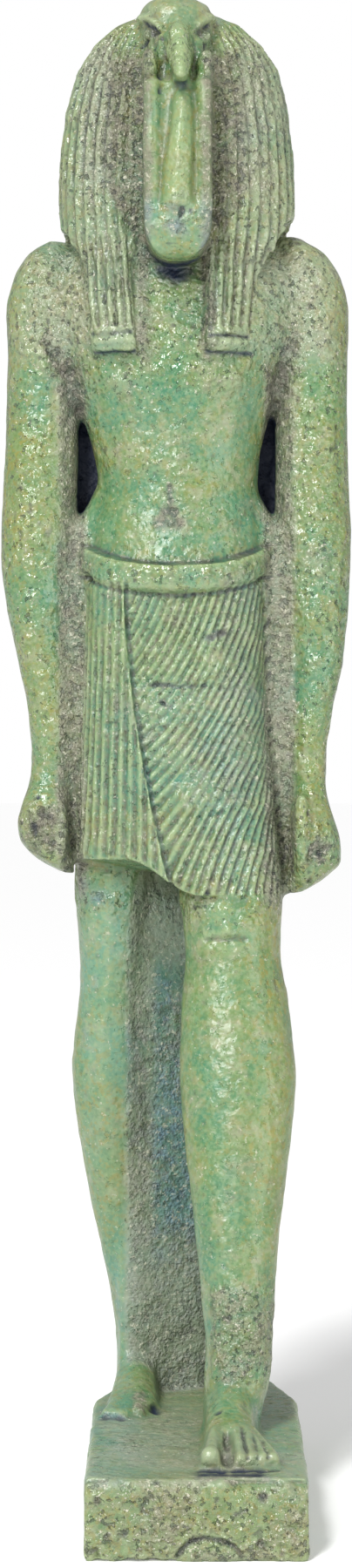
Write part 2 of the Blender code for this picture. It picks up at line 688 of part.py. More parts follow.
def main():
    """Build the statue as one closed solid."""
    for item in list(bpy.data.objects):
        bpy.data.objects.remove(item)

    statue = base()
    outer_wrap = fuse(wrap(), [wrap_edge_cutter()], "DIFFERENCE")
    navel = ball("navel", (-0.2, 5.2, 82.6), (0.75, 1.0, 1.1), 7, 5)
    trunk = fuse(torso(), [navel], "DIFFERENCE")
    pieces = [
        column(),
        limb("rear_leg", REAR_LEG, 13),
        limb("front_leg", FRONT_LEG, 14),
        *rear_foot(),
        *front_foot(),
        kilt(),
        outer_wrap,
        trunk,
        *webs(),
        belt(),
        limb("rear_arm", REAR_ARM, 12),
        limb("front_arm", FRONT_ARM, 12),
        limb("rear_fist", REAR_FIST, 11),
        limb("front_fist", FRONT_FIST, 11),
        ball("rear_thumb", (-10.7, 6.95, 53.6), (0.85, 1.05, 3.1), 8, 5),
        ball("front_thumb", (11.7, 6.95, 53.1), (0.9, 1.45, 4.7), 8, 5),
        wig(),
        lappet("rear_lappet", -1, (4.6, 9.2), (3.7, 7.8)),
        lappet("front_lappet", 1, (2.9, 8.1), (2.7, 6.7)),
        bill_support(),
        limb("support_rib", SUPPORT_RIB, 10),
        limb("head", HEAD, 16),
        limb("bill_stump", BILL_STUMP, 12),
        ball("rear_cheek", (-2.3, 3.63, 123.45), (0.95, 1.55, 2.1), 9, 5),
        ball("front_cheek", (2.75, 3.63, 123.4), (0.85, 1.5, 2.1), 9, 5),
        ball("rear_eye", (-2.4, 5.0, 127.2), (0.8, 0.9, 0.9), 7, 4),
        ball("front_eye", (2.5, 5.0, 127.0), (0.75, 0.9, 0.9), 7, 4),
    ]
    fuse(statue, pieces, "UNION")
    statue.name = "ibis_headed_god_statue"
    statue.data.shade_smooth()
    statue.data.set_sharp_from_angle(angle=math.radians(35.0))
    statue.data.materials.clear()
    statue.data.materials.append(faience())


main()
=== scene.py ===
"""Visual model of a glazed faience statue of an ibis-headed god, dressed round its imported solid.

The figure strides on a low base and looks along -Y. Metres, +Z up. Carving is worked out in millimetres,
with heights counted from the top of the base, as the figure's own proportions are.
"""

import logging
import math
from dataclasses import dataclass
from enum import Enum, IntEnum

import bpy
import numpy as np
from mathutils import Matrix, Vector


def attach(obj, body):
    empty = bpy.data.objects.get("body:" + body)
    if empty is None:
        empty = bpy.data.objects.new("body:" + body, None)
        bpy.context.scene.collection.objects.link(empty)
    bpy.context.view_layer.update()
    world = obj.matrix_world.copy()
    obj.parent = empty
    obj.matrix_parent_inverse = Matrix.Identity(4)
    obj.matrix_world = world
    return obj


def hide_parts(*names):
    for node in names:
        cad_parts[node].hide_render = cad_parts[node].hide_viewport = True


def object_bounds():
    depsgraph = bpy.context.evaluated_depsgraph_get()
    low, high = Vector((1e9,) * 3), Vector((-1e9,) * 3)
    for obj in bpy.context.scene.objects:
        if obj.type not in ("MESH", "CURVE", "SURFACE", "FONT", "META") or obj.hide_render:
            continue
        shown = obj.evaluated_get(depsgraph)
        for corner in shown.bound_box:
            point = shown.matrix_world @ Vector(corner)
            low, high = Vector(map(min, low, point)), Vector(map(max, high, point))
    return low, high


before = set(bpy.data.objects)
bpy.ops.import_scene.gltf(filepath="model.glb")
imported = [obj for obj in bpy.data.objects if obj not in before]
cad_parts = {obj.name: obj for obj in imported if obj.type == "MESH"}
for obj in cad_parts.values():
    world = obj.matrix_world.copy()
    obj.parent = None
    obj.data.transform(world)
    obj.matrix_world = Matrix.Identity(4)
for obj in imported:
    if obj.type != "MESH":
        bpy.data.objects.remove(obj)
CAD_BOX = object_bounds()

NODE = "ibis_headed_god_statue"
BODY = "root"
MM = 0.001
BASE_TOP = 6.8

LATTICE_SIDE = 64
LATTICE = np.random.default_rng(20).uniform(-1.0, 1.0, (LATTICE_SIDE,) * 3)
PATTERN_STEP = np.array([7.31, 3.77, 5.13])
CLOUD_GAIN = 0.8
CLOUD_FALL = 1.6
PULL = 0.6

LOG = logging.getLogger("statue")

Point = tuple[float, float, float]
Colour = tuple[float, float, float, float]
Socket = bpy.types.NodeSocket
Sockets = dict[str, Socket]


class Side(Enum):
    """Side of the figure, by the leg that stands there."""

    REAR = -1
    FRONT = 1


class Pattern(IntEnum):
    """Which cloud pattern each effect reads."""

    WIG_WEAR = 41
    WIG_DIRT = 43
    KILT_WEAR = 51
    KILT_DIRT = 53
    LOST_GLAZE = 61
    LOST_GLAZE_FINE = 64
    COOL = 66
    BARE = 68
    SWELL = 71
    LUMPS = 81
    PITS = 91
    BASE_WEAR = 111
    BELT_WEAR = 131
    WARM = 141
    SLEEK = 171
    BASE_BLOTCHES = 181
    MARK_EDGES = 301


def eased(share: np.ndarray | float) -> np.ndarray | float:
    """Ease from 0 to 1.

    Args:
        share: Values, of which those outside 0 to 1 are held at its ends.

    Returns:
        The eased values.
    """
    held = np.clip(share, 0.0, 1.0)
    return held * held * (3.0 - 2.0 * held)


def within(values: np.ndarray, low: float, high: float, soft: float) -> np.ndarray:
    """Mask that is 1 between two limits and fades to 0 over a soft edge outside them.

    Args:
        values: Values to test.
        low: Lower limit.
        high: Upper limit.
        soft: Width of the fade.

    Returns:
        The mask, 0 to 1.
    """
    return eased((values - low) / soft + 1.0) * eased((high - values) / soft + 1.0)


def highest(**zones: np.ndarray) -> np.ndarray:
    """Highest of several masks at each point, each named for what it covers."""
    return np.maximum.reduce(tuple(zones.values()))


def zigzag(phase: np.ndarray) -> np.ndarray:
    """Straight-sided wave: 0 at whole numbers, 1 half way between them."""
    return 1.0 - np.abs(2.0 * (phase - np.floor(phase)) - 1.0)


def rounded_ridge(phase: np.ndarray, power: float) -> np.ndarray:
    """Wave with rounded ridges at whole numbers and narrow valleys, of depth 1, between them."""
    return (1.0 - np.abs(np.cos(math.pi * phase))) ** power


def cloud(points: np.ndarray, size: float, seed: int) -> np.ndarray:
    """Smooth noise, read from a table of random values.

    Args:
        points: Places in millimetres.
        size: Size of one lump in millimetres.
        seed: Which pattern.

    Returns:
        Values from -1 to 1.
    """
    scaled = points / size + seed * PATTERN_STEP
    cell = np.floor(scaled).astype(np.int64)
    part = scaled - cell
    part = part * part * (3.0 - 2.0 * part)
    low = cell & (LATTICE_SIDE - 1)
    high = (cell + 1) & (LATTICE_SIDE - 1)
    total = np.zeros(len(points))
    for corner in range(8):
        picks = [(high if corner >> axis & 1 else low)[:, axis] for axis in range(3)]
        weight = np.ones(len(points))
        for axis in range(3):
            weight *= part[:, axis] if corner >> axis & 1 else 1.0 - part[:, axis]
        total += weight * LATTICE[picks[0], picks[1], picks[2]]
    return total


def clouds(points: np.ndarray, size: float, seed: int, octaves: int = 3) -> np.ndarray:
    """Noise of several sizes together, each half as large and less strong than the last.

    Args:
        points: Places in millimetres.
        size: Size of the largest lump in millimetres.
        seed: Which pattern.
        octaves: Number of sizes.

    Returns:
        Values of about -1 to 1.
    """
    total = np.zeros(len(points))
    for k in range(octaves):
        total += cloud(points, size / 2.0**k, seed + k) * CLOUD_GAIN / CLOUD_FALL**k
    return total


@dataclass(frozen=True)
class Level:
    """A level cut through a part of the figure: where its middle is and how far it reaches.

    The power says how square its corners are, from 2 for an oval.
    """

    z: float
    x: float
    y: float
    half: float
    front: float
    back: float
    power: float


class Outline:
    """Rounded outline that changes with height, for finding the way round it and the distance to it."""

    FINE = 240
    ROWS = 48
    COLUMNS = 180

    def __init__(self, levels: tuple[Level, ...]) -> None:
        """Work out tables of the way round and of the reach.

        Args:
            levels: Cuts from the lowest to the highest.
        """
        self.levels = levels
        self.low = levels[0].z
        self.high = levels[-1].z
        self.turns = np.linspace(0.0, 2.0 * math.pi, self.COLUMNS)
        self.ways = np.zeros((self.ROWS, self.COLUMNS))
        self.reaches = np.zeros((self.ROWS, self.COLUMNS))
        self.middles = np.zeros((self.ROWS, 2))
        for row in range(self.ROWS):
            level = self.between(self.low + (self.high - self.low) * row / (self.ROWS - 1))
            self.middles[row] = (level.x, level.y)
            self.ways[row], self.reaches[row] = self._row(level)

    def between(self, z: float) -> Level:
        """Level at a height, on a smooth curve through the ones given.

        Args:
            z: Height.

        Returns:
            The level there.
        """
        last = len(self.levels) - 1
        k = 0
        while k < last - 1 and self.levels[k + 1].z < z:
            k += 1
        near = [self.levels[min(max(k + i, 0), last)] for i in (-1, 0, 1, 2)]
        t = min(max((z - near[1].z) / (near[2].z - near[1].z), 0.0), 1.0)
        values = []
        for name in ("x", "y", "half", "front", "back", "power"):
            a, b, c, d = (getattr(level, name) for level in near)
            bend = 2 * a - 5 * b + 4 * c - d + t * (3 * (b - c) + d - a)
            values.append(b + 0.5 * t * (c - a + t * bend))
        return Level(z, *values)

    def _row(self, level: Level) -> tuple[np.ndarray, np.ndarray]:
        """Way round and reach of one level, at even angles seen from its middle."""
        angle = 2.0 * math.pi * np.arange(self.FINE + 1) / self.FINE - math.pi / 2.0
        across, along = np.cos(angle), np.sin(angle)
        bend = 2.0 / level.power
        depth = np.where(along > 0.0, level.back, level.front)
        x = level.half * np.sign(across) * np.abs(across) ** bend
        y = depth * np.sign(along) * np.abs(along) ** bend
        walked = np.concatenate(([0.0], np.cumsum(np.hypot(np.diff(x), np.diff(y)))))
        seen = np.unwrap(np.arctan2(x, -y))
        seen -= seen[0]
        return np.interp(self.turns, seen, walked / walked[-1]), np.interp(self.turns, seen, np.hypot(x, y))

    def find(self, z: np.ndarray, x: np.ndarray, y: np.ndarray) -> tuple[np.ndarray, np.ndarray]:
        """Where points lie against the outline.

        Args:
            z: Heights.
            x: Places across.
            y: Places along.

        Returns:
            Their way round, 0 to 1 from the front towards +X, and how far outside the outline they are.
        """
        row = np.clip((z - self.low) / (self.high - self.low), 0.0, 1.0) * (self.ROWS - 1)
        low = np.minimum(row.astype(int), self.ROWS - 2)
        share = row - low
        middle = self.middles[low] * (1.0 - share)[:, None] + self.middles[low + 1] * share[:, None]
        dx, dy = x - middle[:, 0], y - middle[:, 1]
        turn = np.mod(np.arctan2(dx, -dy), 2.0 * math.pi) / (2.0 * math.pi) * (self.COLUMNS - 1)
        left = np.minimum(turn.astype(int), self.COLUMNS - 2)
        part = turn - left

        def read(table: np.ndarray) -> np.ndarray:
            """Read a table between its rows and columns."""
            lower = table[low, left] * (1.0 - part) + table[low, left + 1] * part
            upper = table[low + 1, left] * (1.0 - part) + table[low + 1, left + 1] * part
            return lower * (1.0 - share) + upper * share

        return read(self.ways), np.hypot(dx, dy) - read(self.reaches)


class Skin:
    """The statue's surface as arrays, in the figure's own millimetres, with what each point looks like."""

    def __init__(self, piece: bpy.types.Object) -> None:
        """Read a mesh.

        Args:
            piece: Object whose mesh is read, and written back by store.
        """
        self.piece = piece
        mesh = piece.data
        count = len(mesh.vertices)
        flat = np.zeros(count * 3)
        mesh.vertices.foreach_get("co", flat)
        self.points = flat.reshape(-1, 3) / MM - np.array([0.0, 0.0, BASE_TOP])
        pairs = np.zeros(len(mesh.edges) * 2, dtype=np.int64)
        mesh.edges.foreach_get("vertices", pairs)
        self.pairs = pairs.reshape(-1, 2)
        self.degree = np.bincount(pairs, minlength=count).astype(float)
        self.looks: dict[str, np.ndarray] = {}
        self.normals = np.zeros_like(self.points)
        self.order = np.zeros(count, dtype=np.int64)
        self.heights = np.zeros(count)
        self.refresh()

    def refresh(self) -> None:
        """Write the points to the mesh and read its normals back."""
        mesh = self.piece.data
        mesh.vertices.foreach_set("co", ((self.points + np.array([0.0, 0.0, BASE_TOP])) * MM).ravel())
        mesh.update()
        flat = np.zeros(len(self.points) * 3)
        mesh.vertex_normals.foreach_get("vector", flat)
        self.normals = flat.reshape(-1, 3)
        self.order = np.argsort(self.points[:, 2])
        self.heights = self.points[self.order, 2]

    def window(self, low: np.ndarray, high: np.ndarray) -> np.ndarray:
        """Which points lie in a box.

        Args:
            low: Lowest corner.
            high: Highest corner.

        Returns:
            Their numbers.
        """
        first, last = np.searchsorted(self.heights, (low[2], high[2]))
        picked = self.order[first:last]
        places = self.points[picked]
        inside = np.all((places >= low) & (places <= high), axis=1)
        return picked[inside]

    @property
    def x(self) -> np.ndarray:
        """Places across."""
        return self.points[:, 0]

    @property
    def aside(self) -> np.ndarray:
        """Distances from the middle plane."""
        return np.abs(self.points[:, 0])

    @property
    def y(self) -> np.ndarray:
        """Places along."""
        return self.points[:, 1]

    @property
    def z(self) -> np.ndarray:
        """Heights above the base."""
        return self.points[:, 2]

    def averaged(self, values: np.ndarray) -> np.ndarray:
        """Each point's neighbours' mean.

        Args:
            values: One row for each point.

        Returns:
            The means, one row for each point.
        """
        columns = []
        first, second = self.pairs[:, 0], self.pairs[:, 1]
        count = len(self.points)
        for column in values.T:
            total = np.bincount(first, column[second], count) + np.bincount(second, column[first], count)
            columns.append(total / self.degree)
        return np.stack(columns, axis=1)

    def smooth(self, weight: np.ndarray, rounds: int) -> None:
        """Soften the surface.

        Args:
            weight: How much each point gives way, 0 to 1.
            rounds: Number of rounds.
        """
        pull = (PULL * weight)[:, None]
        for _ in range(rounds):
            self.points += (self.averaged(self.points) - self.points) * pull
        self.refresh()

    def push(self, amount: np.ndarray) -> None:
        """Move the surface along its normals.

        Args:
            amount: Millimetres outwards for each point.
        """
        self.points += self.normals * amount[:, None]

    def hollowness(self, rounds: int) -> np.ndarray:
        """How far each point lies below a softened surface.

        Args:
            rounds: Rounds of softening, more for wider hollows.

        Returns:
            Millimetres, negative on ridges.
        """
        soft = self.points.copy()
        for _ in range(rounds):
            soft += (self.averaged(soft) - soft) * PULL
        return np.sum((soft - self.points) * self.normals, axis=1)

    def look(self, name: str) -> np.ndarray:
        """One value of the look for each point, made of zeros when it is new."""
        if name not in self.looks:
            self.looks[name] = np.zeros(len(self.points))
        return self.looks[name]

    def stain(self, name: str, mask: np.ndarray, picked: np.ndarray | None = None) -> None:
        """Raise one value of the look to at least a mask.

        Args:
            name: Which value.
            mask: The least value, for each point or each picked one.
            picked: Numbers of the points, all when there are none.
        """
        values = self.look(name)
        if picked is None:
            np.maximum(values, mask, out=values)
        else:
            values[picked] = np.maximum(values[picked], mask)

    def store(self) -> None:
        """Write the points and the looks to the mesh."""
        self.refresh()
        mesh = self.piece.data
        for name, values in self.looks.items():
            layer = mesh.attributes.new(name=name, type="FLOAT", domain="POINT")
            layer.data.foreach_set("value", np.clip(values, 0.0, 1.0))


@dataclass(frozen=True)
class Mark:
    """A mark cut into the surface, or raised where its depth is negative, along a line of places on it.

    Width and depth are in millimetres. Grime and shade, rough and pale are how dark, how bare and how pale
    it is, and ragged is how far its edge wanders. The darkness is soiling in some marks and painted shadow
    in others, and the paleness is partly thin glaze on worn edges and partly painted highlight.
    """

    line: tuple[Point, ...]
    width: float
    depth: float = 0.0
    grime_and_shade: float = 0.0
    rough: float = 0.0
    ragged: float = 0.25
    pale: float = 0.0
    EDGE_LUMP = 0.8
    GRIME_AND_SHADE_REACH = 1.1
    PALE_REACH = 1.3
    ROUGH_REACH = 1.4

    def carve(self, skin: Skin) -> None:
        """Carve the mark.

        Args:
            skin: Surface to carve.
        """
        line = np.array(self.line)
        reach = self.width * (self.PALE_REACH + self.ragged)
        picked = skin.window(line.min(axis=0) - reach, line.max(axis=0) + reach)
        if len(picked) == 0:
            return
        places = skin.points[picked]
        gap = np.linalg.norm(places - line[0], axis=1)
        for start, end in zip(line, line[1:]):
            way = end - start
            share = np.clip((places - start) @ way / (way @ way), 0.0, 1.0)
            gap = np.minimum(gap, np.linalg.norm(places - start - share[:, None] * way, axis=1))
        gap = gap / self.width + self.ragged * clouds(places, self.EDGE_LUMP, Pattern.MARK_EDGES, 2)
        mask = eased(1.0 - gap)
        skin.points[picked] -= skin.normals[picked] * (self.depth * mask)[:, None]
        # Darkness: soiling, and painted shadow in the marks laid where shadows fall; paleness: worn edges
        # and painted highlight.
        skin.stain("grime_and_shade", self.grime_and_shade * eased(self.GRIME_AND_SHADE_REACH - gap), picked)
        skin.stain("rough", self.rough * eased(self.ROUGH_REACH - gap), picked)
        skin.stain("ridge", self.pale * eased(self.PALE_REACH - gap), picked)


def ridge(line: tuple[Point, ...], width: float, height: float, pale: float = 0.0) -> Mark:
    """A smooth mark that stands proud, paler along it: thin glaze on a worn edge, and a painted highlight.
    """
    return Mark(line, width, -height, ragged=0.1, pale=pale)


@dataclass(frozen=True)
class WigCarving:
    """Strands of the wig and of its front lappets."""

    levels: tuple[Level, ...] = (
        Level(102.6, 0.1, 9.8, 10.5, 5.4, 7.3, 2.5),
        Level(110.4, 0.1, 9.8, 11.05, 5.6, 7.5, 2.5),
        Level(112.7, 0.1, 9.8, 11.2, 5.6, 7.5, 2.5),
        Level(116.8, 0.05, 9.8, 11.05, 5.5, 7.6, 2.4),
        Level(120.0, 0.1, 9.8, 10.75, 5.2, 7.7, 2.3),
        Level(123.3, 0.15, 9.9, 10.05, 4.8, 7.6, 2.2),
        Level(125.2, 0.2, 10.0, 9.45, 4.4, 7.3, 2.1),
        Level(126.8, 0.2, 10.1, 8.5, 3.9, 6.8, 2.1),
        Level(128.4, 0.1, 10.2, 7.0, 3.2, 5.8, 2.1),
        Level(129.75, 0.35, 10.3, 5.1, 2.4, 4.4, 2.1),
        Level(130.4, 0.2, 10.4, 3.2, 1.3, 2.4, 2.0),
    )
    strands: int = 54
    solid_depth: float = 0.3
    depth: float = 0.46
    front_hem: float = 103.6
    back_hem: float = 102.8
    rear_corner: float = 110.0
    front_corner: float = 111.0
    lappet_low: float = 97.7
    lappet_high: float = 111.5
    lappet_strands: int = 5
    lappet_solid_depth: float = 0.28
    lappet_depth: float = 0.55

    def edge(self, x: np.ndarray, y: np.ndarray) -> np.ndarray:
        """Height of the wig's lower edge."""
        corner = np.where(x > 0.0, self.front_corner, self.rear_corner)
        aside = np.clip((np.abs(x) - 8.0) / 3.0, 0.0, 1.0)
        before = self.front_hem + (corner - self.front_hem) * aside
        behind = corner + (self.back_hem - corner) * eased((y - 11.5) / 4.5)
        return np.where(y < 9.8, before, behind)

    def carve(self, skin: Skin) -> None:
        """Cut the strands with rounded ridges in place of the solid's plain ones.

        Args:
            skin: Surface to carve.
        """
        outline = Outline(self.levels)
        way, outside = outline.find(skin.z, skin.x, skin.y)
        edge = self.edge(skin.x, skin.y)
        level = (skin.z - edge) / (self.levels[-1].z - edge)
        facing = np.where(skin.y < 9.0, eased((skin.aside - 3.6) / 1.2), 1.0)
        near = within(outside, -0.75, 0.35, 0.25) * within(skin.z, 103.2, 131.0, 0.4)
        near *= eased((level + 0.02) / 0.02)
        solid_fade = np.minimum(1.0, 3.0 * (1.0 - level))
        fade = np.minimum(1.0, 9.0 * (1.0 - level))
        phase = way * self.strands
        worn = 0.65 + 0.35 * eased(0.75 + 0.9 * clouds(skin.points, 6.0, Pattern.WIG_WEAR))
        solid = self.solid_depth * facing * solid_fade * zigzag(phase)
        valley = rounded_ridge(phase, 0.9)
        cut = self.depth * facing * fade * worn * valley
        skin.push(near * np.clip(solid - cut, -0.5, 0.5))
        skin.stain("groove", 0.75 * near * facing * fade * valley * worn)
        packed = eased(0.2 + 1.3 * clouds(skin.points, 3.0, Pattern.WIG_DIRT))
        skin.stain("grime_and_shade", 0.45 * near * facing * fade * valley**2 * packed)
        self._lappet(skin, Side.REAR, (4.6, 9.2), (3.7, 7.8))
        self._lappet(skin, Side.FRONT, (2.9, 8.1), (2.7, 6.7))

    def _lappet(
        self, skin: Skin, side: Side, top: tuple[float, float], bottom: tuple[float, float]
    ) -> None:
        """Cut the strands of one lappet.

        Args:
            skin: Surface to carve.
            side: Side of the figure that the lappet hangs on.
            top: Where its inner and outer edges are at the top, from the middle plane.
            bottom: The same at the bottom.
        """
        level = (skin.z - self.lappet_low) / (self.lappet_high - self.lappet_low)
        inner = bottom[0] + (top[0] - bottom[0]) * level
        outer = bottom[1] + (top[1] - bottom[1]) * level
        share = (skin.x * side.value - inner) / (outer - inner)
        front = 4.5 + 1.5 * share * share + 0.7 * np.clip(level, 0.0, 1.0) ** 3
        near = within(skin.y - front, -0.4, 0.55, 0.2) * within(share, 0.02, 0.98, 0.03)
        near *= within(level, 0.195, 0.78, 0.03) * eased((-skin.normals[:, 1] - 0.2) / 0.3)
        phase = share * self.lappet_strands + 0.5
        solid = self.lappet_solid_depth * zigzag(phase)
        valley = rounded_ridge(phase, 0.9)
        skin.push(near * (solid - self.lappet_depth * valley))
        skin.stain("groove", 0.75 * near * valley)


@dataclass(frozen=True)
class KiltCarving:
    """Pleats of the kilt: slanting on the advanced leg's side, upright on the wrap round the other."""

    levels: tuple[Level, ...] = (
        Level(0.0, 0.5, 11.3, 9.75, 7.9, 5.3, 3.6),
        Level(0.25, 0.35, 11.3, 9.2, 7.3, 5.4, 3.4),
        Level(0.5, 0.2, 11.3, 8.8, 6.9, 5.5, 3.2),
        Level(0.75, 0.1, 11.3, 8.55, 6.6, 5.4, 3.0),
        Level(1.0, 0.1, 11.3, 8.4, 6.5, 5.2, 2.8),
    )
    top: float = 76.8
    rear_hem: float = 50.9
    front_hem: float = 47.5
    knee_push: float = 1.3
    pleats: int = 60
    turned: float = 0.30
    wrap_start: float = 32.0 / 120.0
    wrap_proud: float = 0.46
    solid_depth: float = 0.34
    depth: float = 0.56
    edge_depth: float = 0.12

    def carve(self, skin: Skin) -> None:
        """Cut the pleats with rounded ridges in place of the solid's plain ones, and a shallow cut with a
        painted shadow along the wrap's front edge.

        Args:
            skin: Surface to carve.
        """
        outline = Outline(self.levels)
        aside = eased((skin.x + 4.5) / 6.5)
        hem = self.rear_hem + (self.front_hem - self.rear_hem) * aside
        share = (skin.z - hem) / (self.top - hem)
        fallen = np.clip(1.0 - share, 0.0, 1.0)
        y = skin.y.copy()
        for _ in range(4):
            forward = eased((11.3 - y) / 6.0)
            shift = (-self.knee_push * aside + 1.2 * (1.0 - aside)) * forward * fallen**2
            y = np.where(skin.y < 11.8, skin.y - shift, skin.y)
        way, outside = outline.find(np.clip(share, 0.0, 1.0), skin.x, y)
        edge = -4.83 + 4.5 * np.clip((78.0 - skin.z) / 30.5, 0.0, 1.2) ** 1.75
        wrapped = (way > self.wrap_start) & ((skin.x < edge) | (skin.y > 8.0))
        turn = self.turned * (0.5 * fallen + 0.5 * eased(fallen))
        phase = np.where(wrapped, way, way + turn) * self.pleats
        proud = np.where(wrapped, self.wrap_proud, 0.0)
        near = within(outside - proud, -0.65, 0.3, 0.2) * within(share, 0.012, 0.985, 0.012)
        near *= 1.0 - within(np.abs(skin.x - edge), -1.0, 0.12, 0.15) * (skin.y < 8.0)
        near *= eased(1.6 - np.abs(skin.normals[:, 2]) * 2.0)
        worn = 0.55 + 0.45 * eased(0.75 + 1.1 * clouds(skin.points, 4.0, Pattern.KILT_WEAR))
        valley = rounded_ridge(phase, 0.85)
        solid = self.solid_depth * zigzag(phase)
        skin.push(near * np.clip(solid - self.depth * worn * valley, -0.55, 0.55))
        skin.stain("groove", near * valley * worn)
        packed = eased(0.45 + 1.3 * clouds(skin.points, 3.0, Pattern.KILT_DIRT))
        packed *= eased((skin.x + 1.0) / 7.0)
        skin.stain("grime_and_shade", 0.55 * near * valley**2 * packed)
        # Wrap's front edge: a shallow cut, darkened as the painted shadow of the overlapping edge.
        beside = within(skin.x - edge, 0.02, 0.3, 0.16) * (skin.y < 8.0) * within(skin.z, 48.6, 76.2, 0.6)
        skin.push(-self.edge_depth * beside)
        skin.stain("grime_and_shade", 0.45 * beside * worn)


@dataclass(frozen=True)
class HeadCarving:
    """Brows, eyes and cheeks beside the root of the bill, its broken end, and marks on its support, with
    painted highlights along the brows, the bill and the support and a painted shadow under the support's
    lower end.
    """

    marks: tuple[Mark, ...] = (
        Mark(((-3.1, 5.5, 127.5), (-2.0, 4.1, 127.0)), 0.95, 0.36, 0.45, 0.4, 0.2),
        ridge(((-3.4, 6.9, 129.1), (-2.6, 5.05, 128.75), (-1.5, 3.6, 127.4)), 0.62, 0.46, 0.6),
        Mark(((-2.9, 5.4, 128.3), (-2.1, 4.2, 127.7), (-1.5, 3.6, 127.0)), 0.36, 0.3, 1.0, ragged=0.1),
        Mark(((-2.55, 4.6, 127.1),), 0.6, -0.36, 0.0, 0.4, 0.1),
        Mark(((-3.2, 6.2, 126.35), (-2.8, 5.5, 126.4), (-2.45, 4.75, 126.55)), 0.28, 0.26, 0.9, ragged=0.1),
        Mark(((-1.4, 3.25, 126.35),), 0.28, 0.16, 0.85),
        Mark(((3.1, 5.7, 127.6), (2.2, 4.3, 127.0)), 0.9, 0.32, 0.4, 0.4, 0.2),
        ridge(((3.6, 7.4, 129.2), (2.9, 5.65, 128.95), (1.9, 4.2, 127.8)), 0.62, 0.42, 0.6),
        Mark(((3.1, 5.8, 128.2), (2.4, 4.8, 127.7)), 0.38, 0.28, 1.0, ragged=0.1),
        Mark(((2.8, 4.6, 126.95),), 0.6, -0.3, 0.0, 0.3, 0.1),
        Mark(((2.35, 4.6, 125.85), (2.95, 4.6, 126.05)), 0.34, 0.3, 1.0),
        Mark(((-1.3, 3.1, 126.4), (-1.05, 2.85, 124.5), (-1.2, 2.8, 122.9)), 0.42, 0.2, 0.15),
        Mark(((1.7, 3.3, 126.4), (1.84, 3.35, 125.1), (1.6, 3.0, 123.4)), 0.42, 0.16, 0.15),
        ridge(((-2.5, 2.9, 124.9), (-2.3, 2.4, 123.4)), 0.75, 0.25),
        ridge(((2.9, 3.0, 124.9), (2.9, 2.5, 123.4)), 0.75, 0.22),
        Mark(((-1.52, 2.6, 122.7), (-1.52, 1.7, 121.0)), 0.34, 0.18, 0.8),
        # Remains of the bill, raised, with painted highlights along them and on its broken end.
        ridge(((0.2, 2.4, 126.6), (0.35, 1.2, 124.8), (0.4, -0.1, 122.9)), 1.35, 0.3, 0.8),
        ridge(((0.4, -0.3, 122.8),), 1.0, 0.12, 1.0),
        ridge(((-0.65, 2.2, 125.0), (-0.55, 0.9, 123.2)), 0.8, 0.3, 0.5),
        ridge(((1.45, 2.2, 125.0), (1.35, 0.9, 123.2)), 0.8, 0.3, 0.5),
        ridge(((-0.35, -0.2, 122.35), (0.4, -0.8, 121.95), (1.15, -0.2, 122.35)), 0.4, 0.14),
        Mark(((-0.2, 1.2, 121.6), (0.4, 0.9, 121.4), (1.0, 1.2, 121.6)), 0.6, 0.1, 0.9),
        # Raised strip down the support, with painted highlights.
        ridge(((0.3, 0.5, 119.3), (0.2, 0.4, 115.0), (0.1, 0.7, 111.6)), 1.3, 0.1, 0.6),
        ridge(((0.3, 0.4, 117.7),), 0.6, 0.1, 0.8),
        Mark(((0.55, 1.0, 110.2), (0.3, 1.0, 109.4)), 0.5, 0.24, 0.45, 0.8, 0.5),
        Mark(((1.35, 1.0, 110.0),), 0.32, 0.15, 0.5, 0.6),
        Mark(((0.1, 1.0, 109.2), (0.1, 1.07, 108.4)), 0.95, 0.1, 0.0, 0.9, 0.5),
        Mark(((-0.7, 1.35, 107.1), (0.15, 1.35, 107.1)), 0.2, 0.06, 0.4, ragged=0.6),
        Mark(((-2.6, 6.0, 107.3), (-1.8, 5.7, 106.5)), 0.8, 0.0, 0.5, 0.8, 0.4),
        # Painted shadow on the neck under the support's lower end: darkening only, no cut.
        Mark(((-1.2, 5.8, 106.3), (0.2, 6.4, 105.3), (1.2, 5.0, 106.3)), 1.7, 0.0, 1.0, 0.0, 0.4),
    )

    def carve(self, skin: Skin) -> None:
        """Carve the marks of the head and of the support."""
        for mark in self.marks:
            mark.carve(skin)


